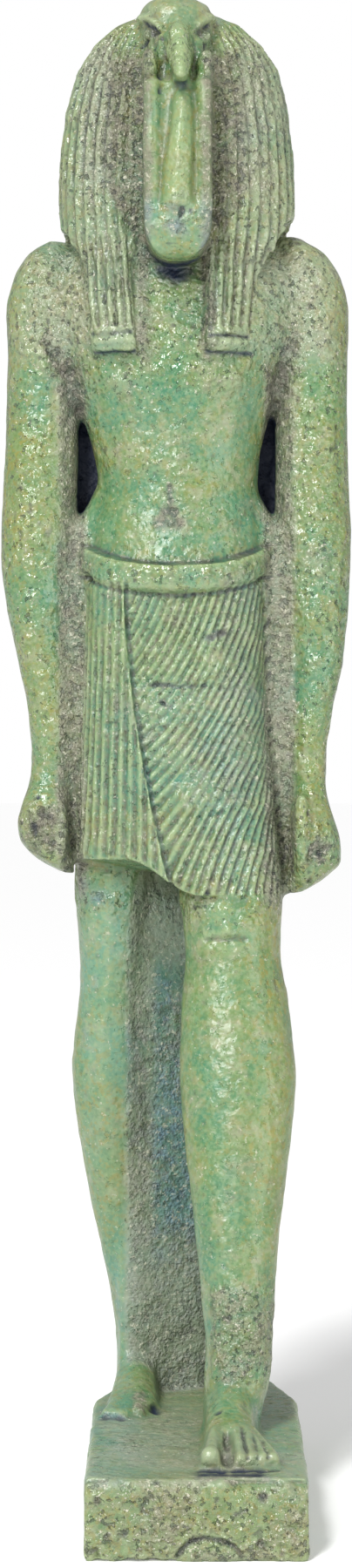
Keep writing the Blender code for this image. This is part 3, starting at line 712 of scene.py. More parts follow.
@dataclass(frozen=True)
class BodyCarving:
    """Forms and marks of the trunk, belt, hands, knees, feet and kilt that are finer than the solid's, with
    painted shade in the waist slots, under the lappet ends and in front of the toes, and painted highlights
    on the belt's edges, the lappet bands, the nipples and the knee.
    """

    belt_foot: float = 77.7
    belt_height: float = 2.7
    belt_dip: float = 2.3
    belt_upper_cut: float = 0.12
    belt_lower_cut: float = 0.1
    marks: tuple[Mark, ...] = (
        Mark(((-12.0, 8.1, 99.8), (-11.35, 8.3, 98.2)), 0.7, 0.15, 0.1, 0.8, 0.5),
        Mark(((-11.35, 8.3, 98.2), (-10.4, 8.9, 96.3)), 1.1, 0.18, 0.15, 1.0, 0.5),
        Mark(((-10.4, 8.9, 96.3), (-9.7, 9.75, 94.3), (-9.2, 11.0, 93.2)), 1.6, 0.2, 0.25, 1.0, 0.5),
        Mark(((11.35, 8.35, 99.8), (10.85, 8.5, 98.5)), 0.7, 0.15, 0.1, 0.8, 0.5),
        Mark(((10.85, 8.5, 98.5), (10.1, 9.2, 97.0)), 1.1, 0.18, 0.15, 1.0, 0.5),
        Mark(((10.1, 9.2, 97.0), (9.3, 9.4, 94.7), (8.9, 10.6, 92.8)), 1.6, 0.2, 0.25, 1.0, 0.5),
        # Lappet ends, each: a dark line under the strands, a raised band with a painted highlight, and a
        # painted shadow along the band's lower edge.
        Mark(((-7.7, 6.0, 99.6), (-5.7, 4.9, 99.6), (-3.7, 4.5, 99.6)), 0.3, 0.26, 0.8, ragged=0.1),
        ridge(((-7.4, 5.8, 98.9), (-5.7, 4.9, 98.9), (-4.0, 4.5, 98.9)), 0.5, 0.24, 0.6),
        Mark(((-8.0, 6.3, 97.8), (-5.7, 5.1, 97.8), (-3.5, 4.8, 97.8)), 0.38, 0.1, 0.95, ragged=0.2),
        Mark(((6.7, 6.0, 99.3), (4.8, 4.9, 99.3), (2.9, 4.5, 99.3)), 0.28, 0.24, 0.75, ragged=0.1),
        ridge(((6.4, 5.8, 98.7), (4.8, 4.9, 98.7), (3.2, 4.5, 98.7)), 0.48, 0.22, 0.6),
        Mark(((7.0, 6.3, 97.8), (4.8, 5.2, 97.8), (2.7, 4.8, 97.8)), 0.36, 0.1, 0.85, ragged=0.2),
        # Nipples: low raised lumps with a painted highlight on them.
        Mark(((-5.1, 5.8, 95.25),), 1.3, -0.24, 0.0, 0.2, pale=0.5),
        Mark(((5.3, 5.9, 95.2),), 1.3, -0.24, 0.0, 0.2, pale=0.5),
        Mark(((-0.65, 5.85, 85.5), (-0.55, 5.9, 83.6)), 0.45, 0.14, 0.3, 1.0, 0.4),
        Mark(((-0.9, 5.8, 83.1), (-0.2, 5.9, 83.1)), 0.7, 0.18, 0.3, 1.0, 0.4),
        Mark(((-1.3, 5.6, 81.9), (0.2, 5.5, 81.9)), 0.85, 0.16, 0.22, 1.0, 0.4),
        Mark(((-10.95, 7.3, 56.3), (-10.75, 6.4, 54.5), (-10.65, 6.4, 52.8)), 0.35, 0.14, 0.35, 0.4),
        Mark(((-12.84, 7.0, 56.58),), 0.3, 0.2, 0.9),
        Mark(((-10.33, 7.3, 50.8),), 0.32, 0.2, 0.9),
        Mark(((-12.4, 6.2, 54.2), (-12.6, 6.2, 53.0)), 2.1, 0.14, 0.2, 1.0, 0.5),
        Mark(((-13.2, 6.4, 53.8), (-13.1, 6.4, 52.9)), 0.55, 0.2, 0.75, 0.8, 0.7),
        Mark(((-12.1, 6.2, 54.9),), 0.5, 0.16, 0.6, 0.8, 0.7),
        Mark(((-12.2, 6.2, 52.7),), 0.4, 0.12, 0.4, 0.8, 0.6),
        Mark(((12.5, 6.8, 54.9), (12.48, 6.3, 51.7), (12.5, 6.9, 48.7)), 0.42, 0.22, 0.35, 0.3),
        Mark(((13.3, 6.15, 51.7),), 1.5, 0.18, 0.3, 1.0, 0.6),
        Mark(((13.2, 6.15, 51.3),), 0.5, 0.16, 0.7, 1.0, 0.7),
        Mark(
            ((-3.15, 5.15, 66.75), (-1.4, 4.75, 67.0), (0.25, 4.55, 66.75), (2.6, 4.8, 66.9)),
            0.26, 0.16, 0.5, 0.5, 0.7,
        ),
        Mark(((2.9, 4.8, 71.4), (4.5, 5.2, 71.75)), 0.45, 0.14, 0.45, 0.8, 0.7),
        Mark(((-1.4, 4.75, 65.4), (-0.5, 4.75, 64.9)), 0.35, 0.12, 0.45, 0.6, 0.7),
        Mark(((2.87, 2.45, 47.75),), 0.34, 0.25, 0.95),
        # Kneecap: raised lumps with painted highlights on them, and the crease across it.
        ridge(((4.2, 2.5, 46.1),), 1.5, 0.34, 0.5),
        ridge(((4.6, 2.05, 44.45),), 1.1, 0.28, 0.4),
        ridge(((4.6, 2.05, 42.6),), 0.9, 0.16, 0.5),
        Mark(((2.7, 2.4, 43.6), (4.45, 2.0, 43.55), (6.3, 2.1, 43.7)), 0.5, 0.22, 0.0, 0.0, 0.3),
        ridge(((-6.47, 9.0, 45.9), (-6.6, 9.6, 39.7), (-6.9, 9.85, 33.2), (-6.6, 10.1, 25.7)), 1.1, 0.1),
        Mark(((-7.54, 9.25, 47.1),), 0.8, 0.05, 0.1, 0.8),
        Mark(((3.75, -9.65, 2.9), (3.6, -9.4, 2.6)), 0.36, 0.2, 0.8, 0.3),
        Mark(((4.2, -13.0, 1.4), (4.4, -15.0, 0.7), (4.6, -17.6, 0.1)), 0.6, 0.06, 0.25, 1.0, 0.4),
        Mark(
            ((5.7, -12.6, 2.4), (5.95, -16.4, 1.3), (6.05, -18.3, 0.8), (6.05, -18.8, 0.2)),
            0.3, 0.26, 0.5, 0.4,
        ),
        Mark(
            ((6.6, -12.8, 2.2), (6.85, -15.9, 1.1), (6.95, -18.0, 0.8), (6.95, -18.6, 0.2)),
            0.26, 0.22, 0.45, 0.2,
        ),
        Mark(
            ((7.35, -12.8, 1.9), (7.65, -16.4, 1.2), (7.85, -17.6, 0.8), (7.9, -18.2, 0.2)),
            0.26, 0.22, 0.45, 0.2,
        ),
        ridge(((2.8, -17.7, 1.2),), 1.25, 0.36, 0.3),
        # Painted shadow: dark bands along the toes' lower edge, with a shallow cut, and on the base in front
        # of them where the toes overhang.
        Mark(((2.0, -18.6, 0.05), (4.0, -18.6, 0.05)), 0.6, 0.14, 1.0, ragged=0.3),
        Mark(((4.8, -18.6, 0.05), (7.2, -18.3, 0.05)), 0.6, 0.14, 1.0, ragged=0.3),
        Mark(((2.4, -19.6, 0.1), (3.7, -19.6, 0.1)), 1.25, 0.08, 1.0, 0.6, 0.35),
        Mark(((5.2, -19.6, 0.1), (6.8, -19.5, 0.1)), 1.25, 0.08, 1.0, 0.6, 0.35),
        Mark(((7.2, -18.6, 0.1), (8.6, -18.2, 0.1)), 0.45, 0.1, 0.8, ragged=0.3),
        Mark(((2.2, -20.7, 0.0), (7.4, -20.6, 0.0)), 0.8, 0.0, 0.0, 1.0, 0.5),
        Mark(((-1.9, 3.2, 0.35),), 1.05, 0.3, 1.0, ragged=0.4),
        Mark(((-3.35, 4.3, 1.6), (-3.2, 1.4, 0.8)), 0.75, 0.06, 0.0, 1.0),
        Mark(((-6.6, 0.6, 0.2), (-4.4, 0.2, 0.2)), 0.5, 0.08, 0.6, 1.0, 0.5),
    )

    def carve(self, skin: Skin) -> None:
        """Carve the marks of the body, sharpen the belt's edges and paint highlights along them, and paint
        shade into the slots beside the waist.
        """
        x, y, z = skin.x, skin.y, skin.z
        forward = eased((11.35 - y) / 6.85)
        foot = self.belt_foot - self.belt_dip * forward * (1.0 - (x / 12.0) ** 2)
        over = z - foot - self.belt_height
        near = within(skin.aside, 0.0, 9.0, 0.4) * eased(11.0 - y)
        broken = 0.5 + 0.5 * clouds(skin.points, 2.4, Pattern.BELT_WEAR, 2)
        upper = within(over, 0.02, 0.24, 0.14) * near
        lower = within(z - foot, -0.3, -0.08, 0.14) * near
        skin.push(-self.belt_upper_cut * upper - self.belt_lower_cut * lower)
        skin.stain("grime_and_shade", np.maximum(upper, lower) * np.clip(broken, 0.0, 1.0) * 0.8)
        # Painted highlight: pale bands just inside the belt's top and bottom edges.
        rims = np.maximum(within(over, -0.3, -0.1, 0.12), within(z - foot, 0.05, 0.25, 0.12)) * near
        skin.stain("ridge", 0.7 * rims)
        # Painted shade: darkens the back of the slots between the arms and the waist.
        painted_slot_shade = within(skin.aside, 6.8, 10.8, 0.2) * within(y, 11.6, 14.7, 0.6) * within(z, 82.0, 96.5, 0.8)
        skin.stain("grime_and_shade", painted_slot_shade * eased((0.4 - skin.normals[:, 1]) / 0.3))
        skin.refresh()
        for mark in self.marks:
            mark.carve(skin)


@dataclass(frozen=True)
class Weathering:
    """Lumpy glaze, rough dirty hollows and pits all over the piece; some hollows and the web between the
    legs are darkened as painted shade, and the top of the web is paled as painted light.
    """

    swell: float = 0.06
    lump: float = 0.03
    rough_lump: float = 0.05
    pit_depth: float = 0.13
    back_sleekness: float = 0.6

    def web(self, skin: Skin) -> np.ndarray:
        """The front face of the web between the legs.

        Args:
            skin: Surface to look at.

        Returns:
            The mask, 0 to 1.
        """
        face = within(skin.x, -4.6, 6.2, 0.5) * eased(skin.y - 9.3) * within(skin.z, -1.0, 49.0, 1.0)
        return face * (eased((0.15 - skin.normals[:, 1]) / 0.4) * eased(16.0 - skin.y))

    def patch(self, skin: Skin, wander: np.ndarray | float = 0.0) -> np.ndarray:
        """The rough patch over the front ankle.

        Args:
            skin: Surface to look at.
            wander: Millimetres by which its edge wanders.

        Returns:
            The mask, 0 to 1.
        """
        band = within(skin.z + 2.0 * wander, 5.0, 12.2, 0.9) * eased((3.0 - skin.y) / 2.0)
        return within(skin.x + 0.35 * wander, 3.6, 9.2, 0.9) * band

    def rough_zones(self, skin: Skin) -> np.ndarray:
        """Where the glaze is lost and soiling has gathered; in the recesses beside the face and the arms and
        on the web between the legs this darkening is partly painted shade.

        Args:
            skin: Surface to look at.

        Returns:
            The mask, 0 to 1.
        """
        x, y, z = skin.x, skin.y, skin.z
        wander = clouds(skin.points, 2.6, Pattern.LOST_GLAZE)
        fine = clouds(skin.points, 0.9, Pattern.LOST_GLAZE_FINE, 2)
        side = x + 0.35 * wander
        aside = np.abs(side)
        ahead = eased((12.0 - y) / 1.5)
        before = eased((9.5 - y) / 1.5)
        rear = within(side, -10.8, -8.8, 0.4) * within(z, 49.0, 96.0, 3.0) * ahead
        front = within(side, 8.5, 10.8, 0.5) * within(z, 48.0, 96.0, 3.0) * ahead
        fill = self.web(skin) * within(x, -4.3 + 0.3 * wander, 6.0, 0.4) * within(z, 0.2, 48.0, 0.8)
        fill *= 1.0 - 0.45 * within(z, 41.0, 50.0, 4.0)
        reach = 3.1 + 3.0 * eased((z - 107.0) / 6.0)
        # Recesses beside the face: soiling with painted shade.
        inner_wig = within(aside, 2.7, reach, 0.7) * within(z, 98.0, 125.0, 2.0) * before
        slab = within(x + wander, -4.5, 1.6, 1.2) * within(y, -16.0, 4.0, 3.0) * eased((0.25 - z) / 0.3)
        blotches = 0.35 + 0.65 * eased(0.4 + 1.3 * clouds(skin.points, 5.0, Pattern.BASE_BLOTCHES, 2))
        mask = highest(
            rear_arm=rear,
            front_arm=0.95 * front,
            web=fill,
            inner_wig=inner_wig,
            outer_wig=0.55 * within(aside, 5.6, 8.2, 1.4) * within(z, 114.0, 126.0, 3.0) * before,
            pleats=0.4 * within(side, 4.8, 8.8, 1.2) * within(z + 2.0 * wander, 58.0, 76.0, 3.0) * before,
            shoulders=0.45 * within(aside, 8.6, 13.5, 1.0) * within(z, 99.5, 107.0, 2.0) * ahead,
            ankle=0.75 * self.patch(skin, wander),
            base_front=0.8 * eased((-20.6 - y) / 0.8) * eased((0.2 - z) / 0.5) * blotches,
            base_top=0.5 * slab,
            worn_spots=0.45 * eased((wander - 0.35) / 0.45),
        )
        # Painted shade: darkens the recesses beside the face and the strips beside the arms further.
        skin.stain("hollow", highest(inner_wig=0.6 * inner_wig, rear_arm=0.45 * rear, front_arm=0.5 * front))
        return np.clip(mask * (0.82 + 0.35 * fine), 0.0, 1.0)

    def sleekness(self, skin: Skin) -> np.ndarray:
        """Where the glaze lies smooth.

        Args:
            skin: Surface to look at.

        Returns:
            The mask, 0 to 1.
        """
        y, z, aside = skin.y, skin.z, skin.aside
        wander = clouds(skin.points, 6.0, Pattern.SLEEK)
        mask = highest(
            legs=1.3 * within(z, 1.0, 44.0, 3.0) * (1.0 - 0.4 * self.web(skin)) * (1.0 - self.patch(skin)),
            belly=0.8 * within(aside, 0.0, 7.6, 1.0) * within(z, 80.0, 93.0, 3.0) * eased((12.0 - y) / 2.0),
            kilt=0.6 * within(aside, 0.0, 8.6, 0.4) * within(z, 48.0, 76.0, 1.0),
            arms=0.45 * within(aside, 9.5, 13.2, 1.0) * within(z, 58.0, 94.0, 4.0),
            support=within(aside, 0.0, 3.4, 0.3) * within(z, 105.0, 122.0, 1.0) * eased(3.5 - y),
            crown=within(aside, 0.0, 3.2, 0.5) * eased(z - 127.0),
            base_top=eased((0.3 - z) / 0.3) * eased((y + 20.6) / 0.6),
        )
        mask += (self.back_sleekness - mask) * eased((y - 12.5) / 2.5)
        return np.clip(mask * (0.95 + 0.55 * wander), 0.0, 1.0)

    def bareness(self, skin: Skin) -> np.ndarray:
        """Where the pale sandy body shows, with painted light added at the top of the web.

        Args:
            skin: Surface to look at.

        Returns:
            The mask, 0 to 1.
        """
        x, y, z, aside = skin.x, skin.y, skin.z, skin.aside
        wander = clouds(skin.points, 5.0, Pattern.BARE)
        web = self.web(skin)
        ahead = eased((12.0 - y) / 1.5)
        left = -3.0 - 0.2 * np.clip(y + 16.0, 0.0, 15.0)
        slab = within(x + 1.5 * wander, left, 2.2, 1.2) * within(y, -18.0, 8.0, 2.5)
        slab *= eased((0.25 - z) / 0.3)
        wig = within(z, 99.0, 127.0, 2.0) * within(aside, 3.2 + 3.0 * eased((z - 107.0) / 4.0), 12.0, 0.5)
        shoulders = within(aside, 8.0, 14.5, 1.5) * within(z, 99.0, 106.0, 3.0)
        mask = highest(
            web_foot=web * within(z, -0.5, 10.0, 8.0),
            # Top of the web under the kilt: pale body, made paler as painted light against the kilt's shade.
            web_top=1.4 * web * within(z, 44.0, 50.0, 5.0) * within(x, -5.0, 1.5, 1.5),
            web_edge=0.8 * web * within(x, -5.0, -2.6, 1.2) * within(z, 0.0, 48.0, 1.0),
            base_top=0.8 * slab,
            beside_arms=0.45 * within(aside, 8.5, 11.0, 0.5) * within(z, 48.0, 94.0, 3.0) * ahead,
            shoulders=(0.4 + 0.4 * (x > 0.0)) * shoulders,
            wig=0.65 * wig,
            crown=0.4 * within(aside, 0.0, 4.0, 0.5) * eased((z - 127.0) / 2.0),
            toes=0.55 * within(z, 0.1, 2.2, 1.0) * eased((-10.0 - y) / 3.0),
        )
        return np.clip(mask * (0.9 + 0.5 * wander), 0.0, 1.0)

    def coolness_and_web_shade(self, skin: Skin) -> np.ndarray:
        """Where the glaze is blue: on the shin beside the web, the chin, the base's top and the kilt, and on
        the web itself, where the blue is painted shade, strongest towards the advanced leg.

        Args:
            skin: Surface to look at.

        Returns:
            The mask, 0 to 1.
        """
        x, y, z, aside = skin.x, skin.y, skin.z, skin.aside
        wander = clouds(skin.points, 4.0, Pattern.COOL, 2)
        corners = np.maximum(eased((-2.5 - x) / 2.0), eased((x - 6.5) / 1.5))
        mask = highest(
            # Painted shade on the web, strongest towards the advanced leg.
            web=self.web(skin) * np.maximum(0.4, within(x, -1.6, 6.2, 1.6) * within(z, 9.0, 45.0, 6.0)),
            shin=0.8 * within(x, -8.6, -4.6, 0.8) * within(z, 0.5, 48.0, 2.0) * eased(13.0 - y),
            chin=0.6 * within(aside, 0.0, 3.6, 0.3) * within(z, 103.0, 110.0, 2.0) * eased(3.0 - y),
            base_top=0.7 * eased((0.3 - z) / 0.3) * eased((y + 21.2) / 0.6) * corners,
            kilt=0.35 * within(aside, 0.0, 7.0, 2.0) * within(z, 50.0, 76.0, 3.0) * eased((9.0 - y) / 1.5),
        )
        return np.clip(mask * (0.8 + 0.6 * wander), 0.0, 1.0)

    def warmth(self, skin: Skin) -> np.ndarray:
        """Where the glaze has turned yellowish.

        Args:
            skin: Surface to look at.

        Returns:
            The mask, 0 to 1.
        """
        x, y, z, aside = skin.x, skin.y, skin.z, skin.aside
        drift = clouds(skin.points, 7.0, Pattern.WARM)
        ahead = eased((9.0 - y) / 1.5)
        yellow = highest(
            crown=0.8 * eased((z - 125.0) / 4.0),
            outer_arms=0.55 * eased((aside - 12.6) / 2.2),
            wig=0.5 * within(z, 101.0, 126.0, 3.0) * eased((aside - 3.0) / 2.0),
            support=0.75 * (within(x, -1.2, 1.7, 0.5) * within(z, 105.0, 119.0, 1.0) * eased(3.0 - y)),
            fists=0.6 * (within(z, 47.0, 57.0, 1.5) * eased(aside - 10.0)),
            front_leg=0.5 * (within(z, 5.0, 46.0, 3.0) * eased((x - 7.2) / 1.6)),
            base=0.95 * eased((-0.2 - z) / 0.8),
        )
        green = highest(
            trunk=within(aside, 0.0, 7.5, 1.5) * within(z, 50.0, 98.0, 2.0) * ahead,
            front_shin=within(x, 0.0, 5.2, 1.0) * within(z, 2.0, 46.0, 2.0) * ahead,
            base_top=1.6 * eased((0.3 - z) / 0.3) * eased((y + 21.2) / 0.6) * eased((-1.0 - x) / 2.0),
        )
        return np.clip(0.3 + yellow * 0.7 - 0.3 * green + 0.7 * drift, 0.0, 1.0)

    def weather(self, skin: Skin) -> None:
        """Wear the surface.

        Args:
            skin: Surface to wear.
        """
        skin.refresh()
        for name, zones in (
            ("rough", self.rough_zones),
            ("warm", self.warmth),
            ("cool", self.coolness_and_web_shade),
            ("bare", self.bareness),
            ("sleek", self.sleekness),
        ):
            skin.stain(name, zones(skin))
        rough = skin.look("rough")
        swell = self.swell * clouds(skin.points, 3.0, Pattern.SWELL, 2)
        lumps = (self.lump + self.rough_lump * rough) * cloud(skin.points, 0.8, Pattern.LUMPS)
        least = 0.66 - 0.24 * rough
        pits = eased((clouds(skin.points, 0.9, Pattern.PITS, 2) - least) / 0.25)
        pits *= 1.0 - 0.6 * skin.look("sleek")
        skin.push(swell + lumps - self.pit_depth * pits)
        skin.stain("pit", pits * (0.5 - 0.25 * eased((-20.6 - skin.y) / 0.5)))
        skin.refresh()


@dataclass(frozen=True)
class BaseWear:
    """Broken edges of the base, dents in its front and the half-round mark at its foot."""

    front_loss: float = 0.26
    side_loss: float = 0.14
    rim_loss: float = 0.4
    rim_drop: float = 0.3
    foot_rise: float = 0.4
    marks: tuple[Mark, ...] = (
        Mark(
            (
                (0.15, -21.7, -6.8), (0.15, -21.7, -6.3), (0.5, -21.7, -5.75), (1.2, -21.7, -5.15),
                (2.3, -21.7, -4.8), (3.4, -21.7, -4.95), (4.75, -21.7, -5.45), (5.35, -21.7, -6.05),
                (5.5, -21.7, -6.8),
            ),
            0.36, 0.34, 0.5, 0.5, 0.3,
        ),
        Mark(((1.4, -21.7, -6.2), (4.3, -21.7, -6.2)), 0.7, -0.05, 0.0, 0.7),
        Mark(((7.4, -21.7, -1.35),), 0.7, 0.28, 0.55, 0.8, 0.5),
        Mark(((-4.3, -21.7, -4.5),), 0.6, 0.26, 0.65, 0.8, 0.5),
        Mark(((-5.8, -21.7, -4.65),), 0.5, 0.18, 0.4, 0.8, 0.5),
        Mark(((4.9, -21.7, -2.8), (5.9, -21.7, -2.5)), 0.4, 0.2, 0.45, 0.6, 0.5),
        Mark(((7.1, -21.7, -5.4),), 0.7, 0.2, 0.35, 0.9, 0.5),
        Mark(((-6.6, -21.7, -1.6),), 0.5, 0.14, 0.35, 0.8, 0.5),
        Mark(((-7.7, -21.5, -5.9), (-6.7, -21.7, -5.9)), 0.3, 0.25, 0.6, ragged=0.3),
        Mark(((-1.6, -21.6, -0.1),), 0.4, 0.22, 0.5),
        Mark(((-7.1, -10.9, 0.0), (-6.45, -10.9, 0.0)), 0.28, 0.18, 0.7),
        Mark(((-7.05, -13.7, 0.0), (-6.8, -13.7, 0.0)), 0.24, 0.14, 0.55),
    )

    def wear(self, skin: Skin) -> None:
        """Wear the base.

        Args:
            skin: Surface to wear.
        """
        y, z = skin.y, skin.z
        low = eased((0.6 - z) / 0.4)
        front = low * eased((-20.9 - y) / 0.5)
        ragged = clouds(skin.points, 2.2, Pattern.BASE_WEAR)
        away = self.front_loss * eased(0.5 + ragged) * front
        top_edge = front * eased((z + 1.3) / 1.3)
        bottom_edge = front * eased((-5.6 - z) / 1.2)
        skin.points[:, 1] += away * 0.7 + self.rim_loss * top_edge * eased(0.3 + ragged)
        skin.points[:, 2] -= self.rim_drop * top_edge * eased(0.4 + ragged)
        skin.points[:, 2] += self.foot_rise * bottom_edge * eased(ragged)
        side = low * within(z, -7.0, -0.3, 0.2) * (1.0 - front)
        skin.push(-self.side_loss * side * eased(0.4 + ragged))
        # Pale line along the worn top front edge of the base: bare edge and painted highlight.
        rim = within(z, -0.5, -0.1, 0.2) * eased((-21.0 - y) / 0.3)
        skin.stain("ridge", 0.7 * rim * eased(0.6 + ragged))
        skin.refresh()
        for mark in self.marks:
            mark.carve(skin)
        skin.refresh()


@dataclass(frozen=True)
class GlazeTones:
    """Colours of the glazed body, linear, among them those of painted shade and painted highlights."""

    green: Colour = (0.066, 0.178, 0.056, 1.0)
    teal: Colour = (0.034, 0.172, 0.098, 1.0)
    aqua: Colour = (0.1, 0.28, 0.225, 1.0)
    yellow_green: Colour = (0.165, 0.205, 0.045, 1.0)
    olive: Colour = (0.24, 0.2, 0.032, 1.0)
    # Pale green: mottling of the glaze, and the painted highlights on ridges.
    pale: Colour = (0.3, 0.39, 0.19, 1.0)
    sand: Colour = (0.31, 0.29, 0.2, 1.0)
    bare: Colour = (0.36, 0.38, 0.3, 1.0)
    rough_grey: Colour = (0.175, 0.172, 0.125, 1.0)
    # Blue-grey of the bare body, and the painted shade on the web between the legs.
    blue_grey_and_web_shade: Colour = (0.13, 0.235, 0.3, 1.0)
    # Grey-brown of soiling, and of the painted shade in hollows.
    dirt_and_shade: Colour = (0.07, 0.064, 0.045, 1.0)
    # Near-black navy: dark soiling and pits, and painted shadow under the chin, lappets and toes and in the
    # waist slots.
    dark_dirt_and_shade: Colour = (0.003, 0.011, 0.036, 1.0)
    grain: Colour = (0.66, 0.64, 0.5, 1.0)


class Nodes:
    """Short way to add and join shader nodes."""

    def __init__(self, tree: bpy.types.NodeTree) -> None:
        """Keep the tree that nodes are added to."""
        self.tree = tree

    def add(self, kind: str, **settings: object) -> bpy.types.Node:
        """Add a node.

        Args:
            kind: Node type without its ShaderNode prefix.
            settings: Properties to set.

        Returns:
            The node.
        """
        node = self.tree.nodes.new("ShaderNode" + kind)
        for name, value in settings.items():
            setattr(node, name, value)
        return node

    def feed(self, node: bpy.types.Node, values: dict[str | int, object]) -> None:
        """Link sockets, or set plain values on them.

        Args:
            node: Node that has the sockets.
            values: For each input socket, by name or number, another socket or a plain value.
        """
        for place, value in values.items():
            if isinstance(value, Socket):
                self.tree.links.new(value, node.inputs[place])
            else:
                node.inputs[place].default_value = value

    def group(self, tree: bpy.types.NodeTree, **values: object) -> Sockets:
        """Place a node group.

        Args:
            tree: The group.
            values: What feeds its inputs.

        Returns:
            Its outputs by name.
        """
        node = self.add("Group", node_tree=tree)
        self.feed(node, values)
        return {socket.name: socket for socket in node.outputs}

    def noise(self, vector: Socket, scale: object, detail: float, rough: float) -> Socket:
        """Cloudy noise, 0 to 1."""
        node = self.add("TexNoise")
        self.feed(node, {"Vector": vector, "Scale": scale, "Detail": detail, "Roughness": rough})
        return node.outputs["Fac"]

    def ramp(self, source: Socket, low: float, high: float) -> Socket:
        """Stretch the values between low and high to 0 to 1, softly."""
        node = self.add("MapRange", interpolation_type="SMOOTHSTEP")
        self.feed(node, {"Value": source, "From Min": low, "From Max": high})
        return node.outputs["Result"]

    def scaled(self, value: Socket, gain: object, start: object = 0.0, clamp: bool = False) -> Socket:
        """A value times a gain, plus a start."""
        node = self.add("Math", operation="MULTIPLY_ADD", use_clamp=clamp)
        self.feed(node, {0: value, 1: gain, 2: start})
        return node.outputs[0]

    def most(self, value: Socket, *others: Socket) -> Socket:
        """Highest of several values."""
        for other in others:
            node = self.add("Math", operation="MAXIMUM")
            self.feed(node, {0: value, 1: other})
            value = node.outputs[0]
        return value

    def coats(self, colour: object, *coats: tuple[Socket, object]) -> Socket:
        """Lay coats over a colour.

        Args:
            colour: The lowest colour.
            coats: For each coat, how much it covers and its colour.

        Returns:
            The colour that shows.
        """
        for share, coat in coats:
            node = self.add("Mix", data_type="RGBA")
            self.feed(node, {0: share, 6: colour, 7: coat})
            colour = node.outputs[2]
        return colour


class NodeGroup:
    """A shader node group under construction, with its entry and exit."""

    def __init__(self, name: str, inputs: dict[str, str], outputs: tuple[str, ...]) -> None:
        """Make the group and its sockets.

        Args:
            name: Name of the group.
            inputs: Kind of each input socket, by name.
            outputs: Names of the output sockets, which are plain values.
        """
        self.tree = bpy.data.node_groups.new(name, "ShaderNodeTree")
        for label, kind in inputs.items():
            self.tree.interface.new_socket(name=label, in_out="INPUT", socket_type="NodeSocket" + kind)
        for label in outputs:
            self.tree.interface.new_socket(name=label, in_out="OUTPUT", socket_type="NodeSocketFloat")
        self.entry = self.tree.nodes.new("NodeGroupInput").outputs
        self.exit = self.tree.nodes.new("NodeGroupOutput")
        self.nodes = Nodes(self.tree)


def drift_group() -> bpy.types.NodeTree:
    """Group for slow changes of the glaze: broad drift, patches, blotches and fine mottling, 0 to 1 each.

    Returns:
        The group.
    """
    spans = {
        "Broad": (1.0, 0.38, 0.62),
        "Patch": (4.0, 0.4, 0.62),
        "Blotch": (13.0, 0.4, 0.64),
        "Mottle": (34.0, 0.38, 0.64),
        "Fleck": (21.0, 0.5, 0.6),
    }
    group = NodeGroup("glaze_drift", {"Vector": "Vector", "Scale": "Float"}, tuple(spans))
    nodes, entry = group.nodes, group.entry
    for label, (finer, low, high) in spans.items():
        cloudy = nodes.noise(entry["Vector"], nodes.scaled(entry["Scale"], finer), 4.0, 0.6)
        nodes.feed(group.exit, {label: nodes.ramp(cloudy, low, high)})
    return group.tree


def speckle_group() -> bpy.types.NodeTree:
    """Group for dark pinholes and pale grains in the glaze, 0 to 1 each.

    Returns:
        The group.
    """
    starts = {"Holes": (1.0, 0.61), "Grains": (1.45, 0.625)}
    inputs = {"Vector": "Vector", "Scale": "Float", "Much": "Float"}
    group = NodeGroup("glaze_speckle", inputs, tuple(starts))
    nodes, entry = group.nodes, group.entry
    for label, (finer, low) in starts.items():
        cloudy = nodes.noise(entry["Vector"], nodes.scaled(entry["Scale"], finer), 3.0, 0.62)
        more = nodes.scaled(entry["Much"], 0.07, cloudy)
        nodes.feed(group.exit, {label: nodes.ramp(more, low, low + 0.07)})
    return group.tree


